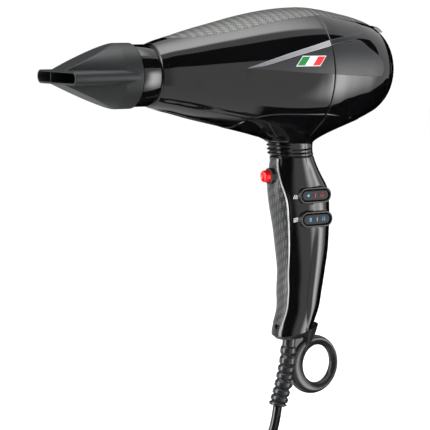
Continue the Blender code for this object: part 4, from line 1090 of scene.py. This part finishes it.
for name, centre in SWITCHES.items():
    bezel = ring_body(pill_rings(centre, [
        (BEZEL_LENGTH - inset, BEZEL_HEIGHT - inset, y) for inset, y in BEZEL_SECTION]))
    make_piece(f"{name}_bezel", [bezel], bezel_plastic, "dryer", [f"{name}_switch_bezel"])
    key = pill_dome(centre, KEY_LENGTH, KEY_HEIGHT, KEY_FACE, KEY_BACK, KEY_ROUNDING)
    make_piece(f"{name}_key", [key], key_plastic, f"{name}_rocker", [f"{name}_rocker"])
    for colour in ("blue", "red"):
        marks = [printed_mark(mark, centre[0] + along, centre[1], KEY_FACE - 0.05)
                 for mark, along, ink in KEY_PRINT[name] if ink == colour]
        if marks:
            make_piece(f"{name}_key_{colour}_marks", marks, inks[colour], f"{name}_rocker")

# Two white symbols on the grip beside the rockers: rising heat and moving air, as plain strokes.
stroke_turn = np.linspace(-1, 1, 14)
for name, centre_x, centre_z in (("heat_symbol", -11.6, -91.8), ("air_symbol", -10.8, -109.1)):
    strokes = []
    for number in (-1, 0, 1):
        along = stroke_turn * 1.5
        wave = 0.35 * np.sin(stroke_turn * np.pi) + number * 1.15
        for_heat = name == "heat_symbol"
        u, v = (wave, along) if for_heat else (along, wave)
        x, z = centre_x + u, centre_z + v
        width = np.array([-0.3, 0.3])
        x = x[:, None] + (width if for_heat else 0 * width)
        z = z[:, None] + (0 * width if for_heat else width)
        turn = angle_at_x(x, z)
        strokes.append(wall(on_handle(turn, z, 0.12), on_handle(turn, z, -0.2), False))
    make_piece(name, strokes, inks["white"], "dryer")


# ---- Cold-shot button ----
# A turned-looking gloss red ABS button with a dished face; it slides in a short black collar.

BUTTON_Z = -76.8


def turned_at(profile, z, sides=64):
    """A closed section turned about a line along x at a height on the handle."""
    along, radius = np.array(profile, float).T
    angle = 2 * np.pi * np.arange(sides) / sides
    grid = np.stack([np.broadcast_to(along[:, None], (len(along), sides)),
                     radius[:, None] * np.cos(angle), z + radius[:, None] * np.sin(angle)], -1)
    return ring_body(grid)


button_profile = [(-30.0, 0.02), (-30.1, 1.4), (-30.45, 2.6), (-30.85, 3.1), (-31.0, 3.45),
                  (-30.95, 3.8), (-30.6, 4.2), (-30.0, 4.42), (-29.0, 4.5), (-24.2, 4.5), (-18.6, 4.5),
                  (-18.6, 5.8), (-17.6, 5.8), (-17.6, 3.4), (-20.6, 3.3), (-20.6, 0.02)]
red_abs = mottled("gloss_red_abs", "#e8060c", "#c40408", 120.0, 0.12, bump=0, detail=2.0, IOR=1.52)
red_button = make_piece("red_button", [turned_at(button_profile, BUTTON_Z)], red_abs, "cold_shot",
                        ["cold_shot_button"])
red_button.visible_glossy = False       # the studio keeps its red mirror image off the barrel
collar_profile = [(-26.2, 4.75), (-26.4, 5.2), (-26.2, 5.9), (-25.6, 6.2), (-21.5, 6.2), (-21.5, 4.75)]
make_piece("button_collar", [turned_at(collar_profile, BUTTON_Z)], bezel_plastic, "dryer")


# ---- Foot, cord boot and hanging ring ----
# One moulding in satin black rubber-like PVC: a plate that closes the grip, a ribbed boot that
# keeps the lead from kinking, and an upright ring for a wall hook, tied to the boot by a web.

BOOT = [(-6.2, -197.5), (-7.0, -204), (-7.7, -211), (-8.5, -219.8), (-9.9, -226), (-11.2, -232),
        (-12.9, -238.7), (-14.6, -244.6), (-16.4, -249.6), (-17.0, -252.4)]
RIB_COUNT = 8


def boot_surface(rows=180, sides=48):
    """Rings square to the boot's bending axis, swelling at each of its ribs."""
    t = np.linspace(0, 1, rows)
    axis = np.array(BOOT)
    spot = np.linspace(0, 1, len(axis))
    x, z = (curve_through(np.column_stack([spot, axis[:, i]]), t) for i in (0, 1))
    slope_x, slope_z = np.gradient(x, t), np.gradient(z, t)
    size = np.hypot(slope_x, slope_z)
    ribs_from, ribs_to = 0.16, 0.985
    phase = (t - ribs_from) / (ribs_to - ribs_from) * RIB_COUNT
    wave = np.where((phase > 0) & (phase < RIB_COUNT),
                    np.clip(1.35 * np.sin(np.pi * (phase % 1)), 0, 1), 0)
    radius = 5.0 + 0.35 * t + (0.9 + 0.75 * t) * wave
    radius[0], radius[-1] = 4.6, 4.4
    angle = 2 * np.pi * np.arange(sides) / sides
    across = radius[:, None] * np.cos(angle)
    grid = np.stack([x[:, None] - across * (slope_z / size)[:, None], radius[:, None] * np.sin(angle),
                     z[:, None] + across * (slope_x / size)[:, None]], -1)
    ends = [np.array([[x[i] - 0.01 * math.cos(a), 0.01 * math.sin(a), z[i]] for a in angle])
            for i in (0, -1)]
    return ring_body(np.concatenate([ends[0][None], grid, ends[1][None]]))


HOLE_OF_RING = (18.2, -223.4, 12.7, 14.6)       # x and z of the centre, then half length and height
RIM_OF_RING = (14.4, -223.4, 22.1, 22.7)


def ring_surface(rows=160, sides=40):
    """An oval ring, thicker towards the boot, round outside and sloping to a thin rim at the hole."""
    path = 2 * np.pi * np.arange(rows)[:, None] / rows
    turn = 2 * np.pi * np.arange(sides)[None, :] / sides
    wide = np.clip(1.0 + 0.28 * np.cos(turn), 0.72, 1.28)
    side = 4.2 * np.sign(np.sin(turn)) * np.abs(np.sin(turn)) ** 0.85 * wide
    outwards = (1 + np.cos(turn)) / 2
    edges = []
    for centre_x, centre_z, reach_x, reach_z in (HOLE_OF_RING, RIM_OF_RING):
        edges.append((centre_x + reach_x * np.cos(path), centre_z + reach_z * np.sin(path)))
    x, z = ((1 - outwards) * hole + outwards * rim for hole, rim in zip(*edges))
    return ring_body(np.stack([x, side + 0 * path, z], -1))


def foot_plate(rows=26, sides=120):
    """The plate follows the grip's sloping end and tucks in below it."""
    depth = np.linspace(0, 1, rows)[:, None]
    angle = 2 * np.pi * np.arange(sides)[None, :] / sides
    shrink = 0.35 + 2.6 * depth ** 1.6
    base = on_handle(angle, -194 + 0 * depth + 0 * angle, 0.0)
    middle, half_length = -4.6, 15.4
    scale = (half_length - shrink) / half_length
    x = middle + (base[..., 0] - middle) * scale
    y = base[..., 1] * scale
    z = FOOT_LINE[0] + FOOT_LINE[1] * x + 1.6 - (4.4 + 0.13 * np.clip(x + 19, 0, 30)) * depth
    grid = np.stack([x, y, z + 0 * angle], -1)
    ends = [np.stack([middle + (grid[i, :, 0] - middle) * 0.01, grid[i, :, 1] * 0.01,
                      grid[i, :, 2] * 0 + grid[i, :, 2].mean()], -1)[None] for i in (0, -1)]
    return ring_body(np.concatenate([ends[0], grid, ends[1]]))


def neck_of_ring(rows=40, sides=32):
    """The stalk that runs from the plate's rear corner round into the ring."""
    t = np.linspace(0, 1, rows)
    x = curve_through([(0, 10.5), (0.4, 9.5), (1, 4.5)], t)
    z = curve_through([(0, -193.5), (0.4, -202.5), (1, -211.5)], t)
    half_x = curve_through([(0, 7.0), (0.5, 4.9), (1, 3.9)], t)
    half_y = curve_through([(0, 9.0), (0.5, 5.6), (1, 4.6)], t)
    angle = 2 * np.pi * np.arange(sides) / sides
    grid = np.stack([x[:, None] + half_x[:, None] * np.cos(angle),
                     half_y[:, None] * np.sin(angle) + 0 * x[:, None],
                     z[:, None] + 0.35 * half_x[:, None] * np.cos(angle)], -1)
    ends = [grid[i].mean(0) + (grid[i] - grid[i].mean(0)) * 0.01 for i in (0, -1)]
    return ring_body(np.concatenate([ends[0][None], grid, ends[1][None]]))


def web_between(rows=40, columns=12):
    """The thin web between boot and ring, thickest in the middle of its span."""
    t = np.linspace(0, 1, rows)[:, None]
    left = curve_through([(0, -6.6), (0.6, -8.9), (1, -12.0)], t)
    right = curve_through([(0, 9.5), (0.22, 4.5), (0.42, -1.0), (0.7, -0.6), (1, -5.5)], t)
    z = -197.5 - 41.5 * t
    share = np.linspace(0, 1, columns)[None, :]
    x = left + (right - left) * share
    half = 2.4 + 0 * x
    return wall(np.stack([x, -half, z + 0 * x], -1), np.stack([x, half, z + 0 * x], -1), False)


satin_rubber = mottled("satin_black_rubber", "#17181a", "#222325", 900.0, 0.27, bump=0.2,
                       distance=0.00015, IOR=1.5)
make_piece("foot_boot_ring",
           [foot_plate(), boot_surface(), ring_surface(), neck_of_ring(), web_between()],
           satin_rubber, "dryer", ["foot_boot_and_ring"])


# ---- Outlet guard and heater ----
# Inside the front shell: a die-cast guard in the outlet, and two crossed mica boards that carry the
# resistance winding inside a mica sleeve, with a thermostat and a fuse.

refinish(mottled("die_cast_zinc", "#8b8d90", "#6c6e71", 700, 0.38, 0.9), "outlet_grille")
refinish(mottled("mica_board", "#c7b48f", "#8f7c58", 220, 0.55, bump=0.3), "mica_board_flat",
         "mica_board_upright", "mica_sleeve")
refinish(mottled("oxidised_resistance_wire", "#77706b", "#4a423d", 900, 0.45, 0.9), "heater_winding")
refinish(mottled("phenolic_resin", "#3a2c24", "#2a1f19", 600, 0.4), "thermostat")
refinish(mottled("tinned_fuse_can", "#c8c9cb", "#a2a3a6", 500, 0.25, 0.95), "thermal_fuse")


# ---- Motor and fan ----
# A mains motor in pressed steel bells, its wound armature and copper commutator on one shaft with
# the seven-blade fan, and the moulded duct that carries it.

pressed_steel = mottled("pressed_steel", "#9fa1a4", "#7d7f83", 380, 0.32, 0.95)
refinish(pressed_steel, "motor_front_bell", "motor_rear_bell", "motor_field_core", "motor_shaft")
refinish(mottled("enamelled_copper", "#a0501f", "#6d3010", 1500, 0.3, 0.6, 0.4), "armature",
         "field_coil_upper", "field_coil_lower")
refinish(mottled("sintered_bronze", "#b98d52", "#8d6534", 1500, 0.45, 0.9), "front_bearing",
         "rear_bearing", "commutator")
refinish(mottled("pressed_carbon", "#2c2c2d", "#18181a", 1400, 0.6), "carbon_brush_left",
         "carbon_brush_right")
refinish(mottled("natural_glass_nylon", "#cfc9b8", "#b5ae9b", 300, 0.45), "fan", "fan_duct",
         "nozzle_snap_collar")


# ---- Parts inside the handle ----
# Switch bodies, microswitch and spring, the screws, the clamp that grips the lead, and its two cores.

refinish(mottled("black_switch_resin", "#1c1c1d", "#101011", 500, 0.4), "heat_switch_body",
         "speed_switch_body", "cold_shot_microswitch")
refinish(mottled("spring_steel", "#b8babd", "#8d8f93", 900, 0.25, 0.95), "cold_shot_spring")
refinish(mottled("zinc_plated_screw", "#a6a8aa", "#7f8286", 700, 0.35, 0.9), "handle_screw_upper",
         "handle_screw_lower")
refinish(mottled("white_nylon_clamp", "#d9d6cc", "#bfbcb1", 400, 0.45), "cord_clamp")
refinish(pvc_sheath, "lead_inner_end")
refinish(mottled("brown_core_pvc", "#5e3018", "#44210f", 600, 0.35), "wire_live")
refinish(mottled("blue_core_pvc", "#2a5fa8", "#1b4480", 600, 0.35), "wire_neutral")


# ---- Plug and lead strap ----
# A moulded two-pin plug in black PVC with nickel-plated brass pins, and a soft strap with a buckle
# end that holds the coiled lead.

refinish(mottled("moulded_plug_pvc", "#1d1d1f", "#121214", 700, 0.42), "plug_body")
refinish(mottled("nickel_plated_brass", "#cfc9b6", "#a9a28c", 500, 0.22, 0.95), "plug_pin_left",
         "plug_pin_right")
STRAP_ANGLE, STRAP_WIDTH, STRAP_THICK = math.radians(200), 9.0, 1.3
coil_half_wide, coil_half_high = 4 * CORD_RADIUS + 0.15, 3 * CORD_RADIUS + 0.15
strap_turn = 2 * np.pi * np.arange(96) / 96
strap_rows = []
for grow, across in ((0, -1), (0.25, -1.04), (STRAP_THICK, -1), (STRAP_THICK, 1), (0.25, 1.04), (0, 1)):
    c, s = oval_point(strap_turn, 5.0)
    out = COIL_MEAN + (coil_half_wide + grow) * c
    up = LEAD_GROUND + 2 * CORD_RADIUS + (coil_half_high + grow) * s
    side = across * STRAP_WIDTH / 2
    strap_rows.append(np.stack([
        COIL_CENTRE[0] + out * math.cos(STRAP_ANGLE) - side * math.sin(STRAP_ANGLE),
        COIL_CENTRE[1] + out * math.sin(STRAP_ANGLE) + side * math.cos(STRAP_ANGLE), up], -1))
woven_strap = mottled("black_strap_webbing", "#202022", "#111112", 1600, 0.7, bump=0.5)
make_piece("lead_strap", [ring_body(np.array(strap_rows))], woven_strap, "dryer")
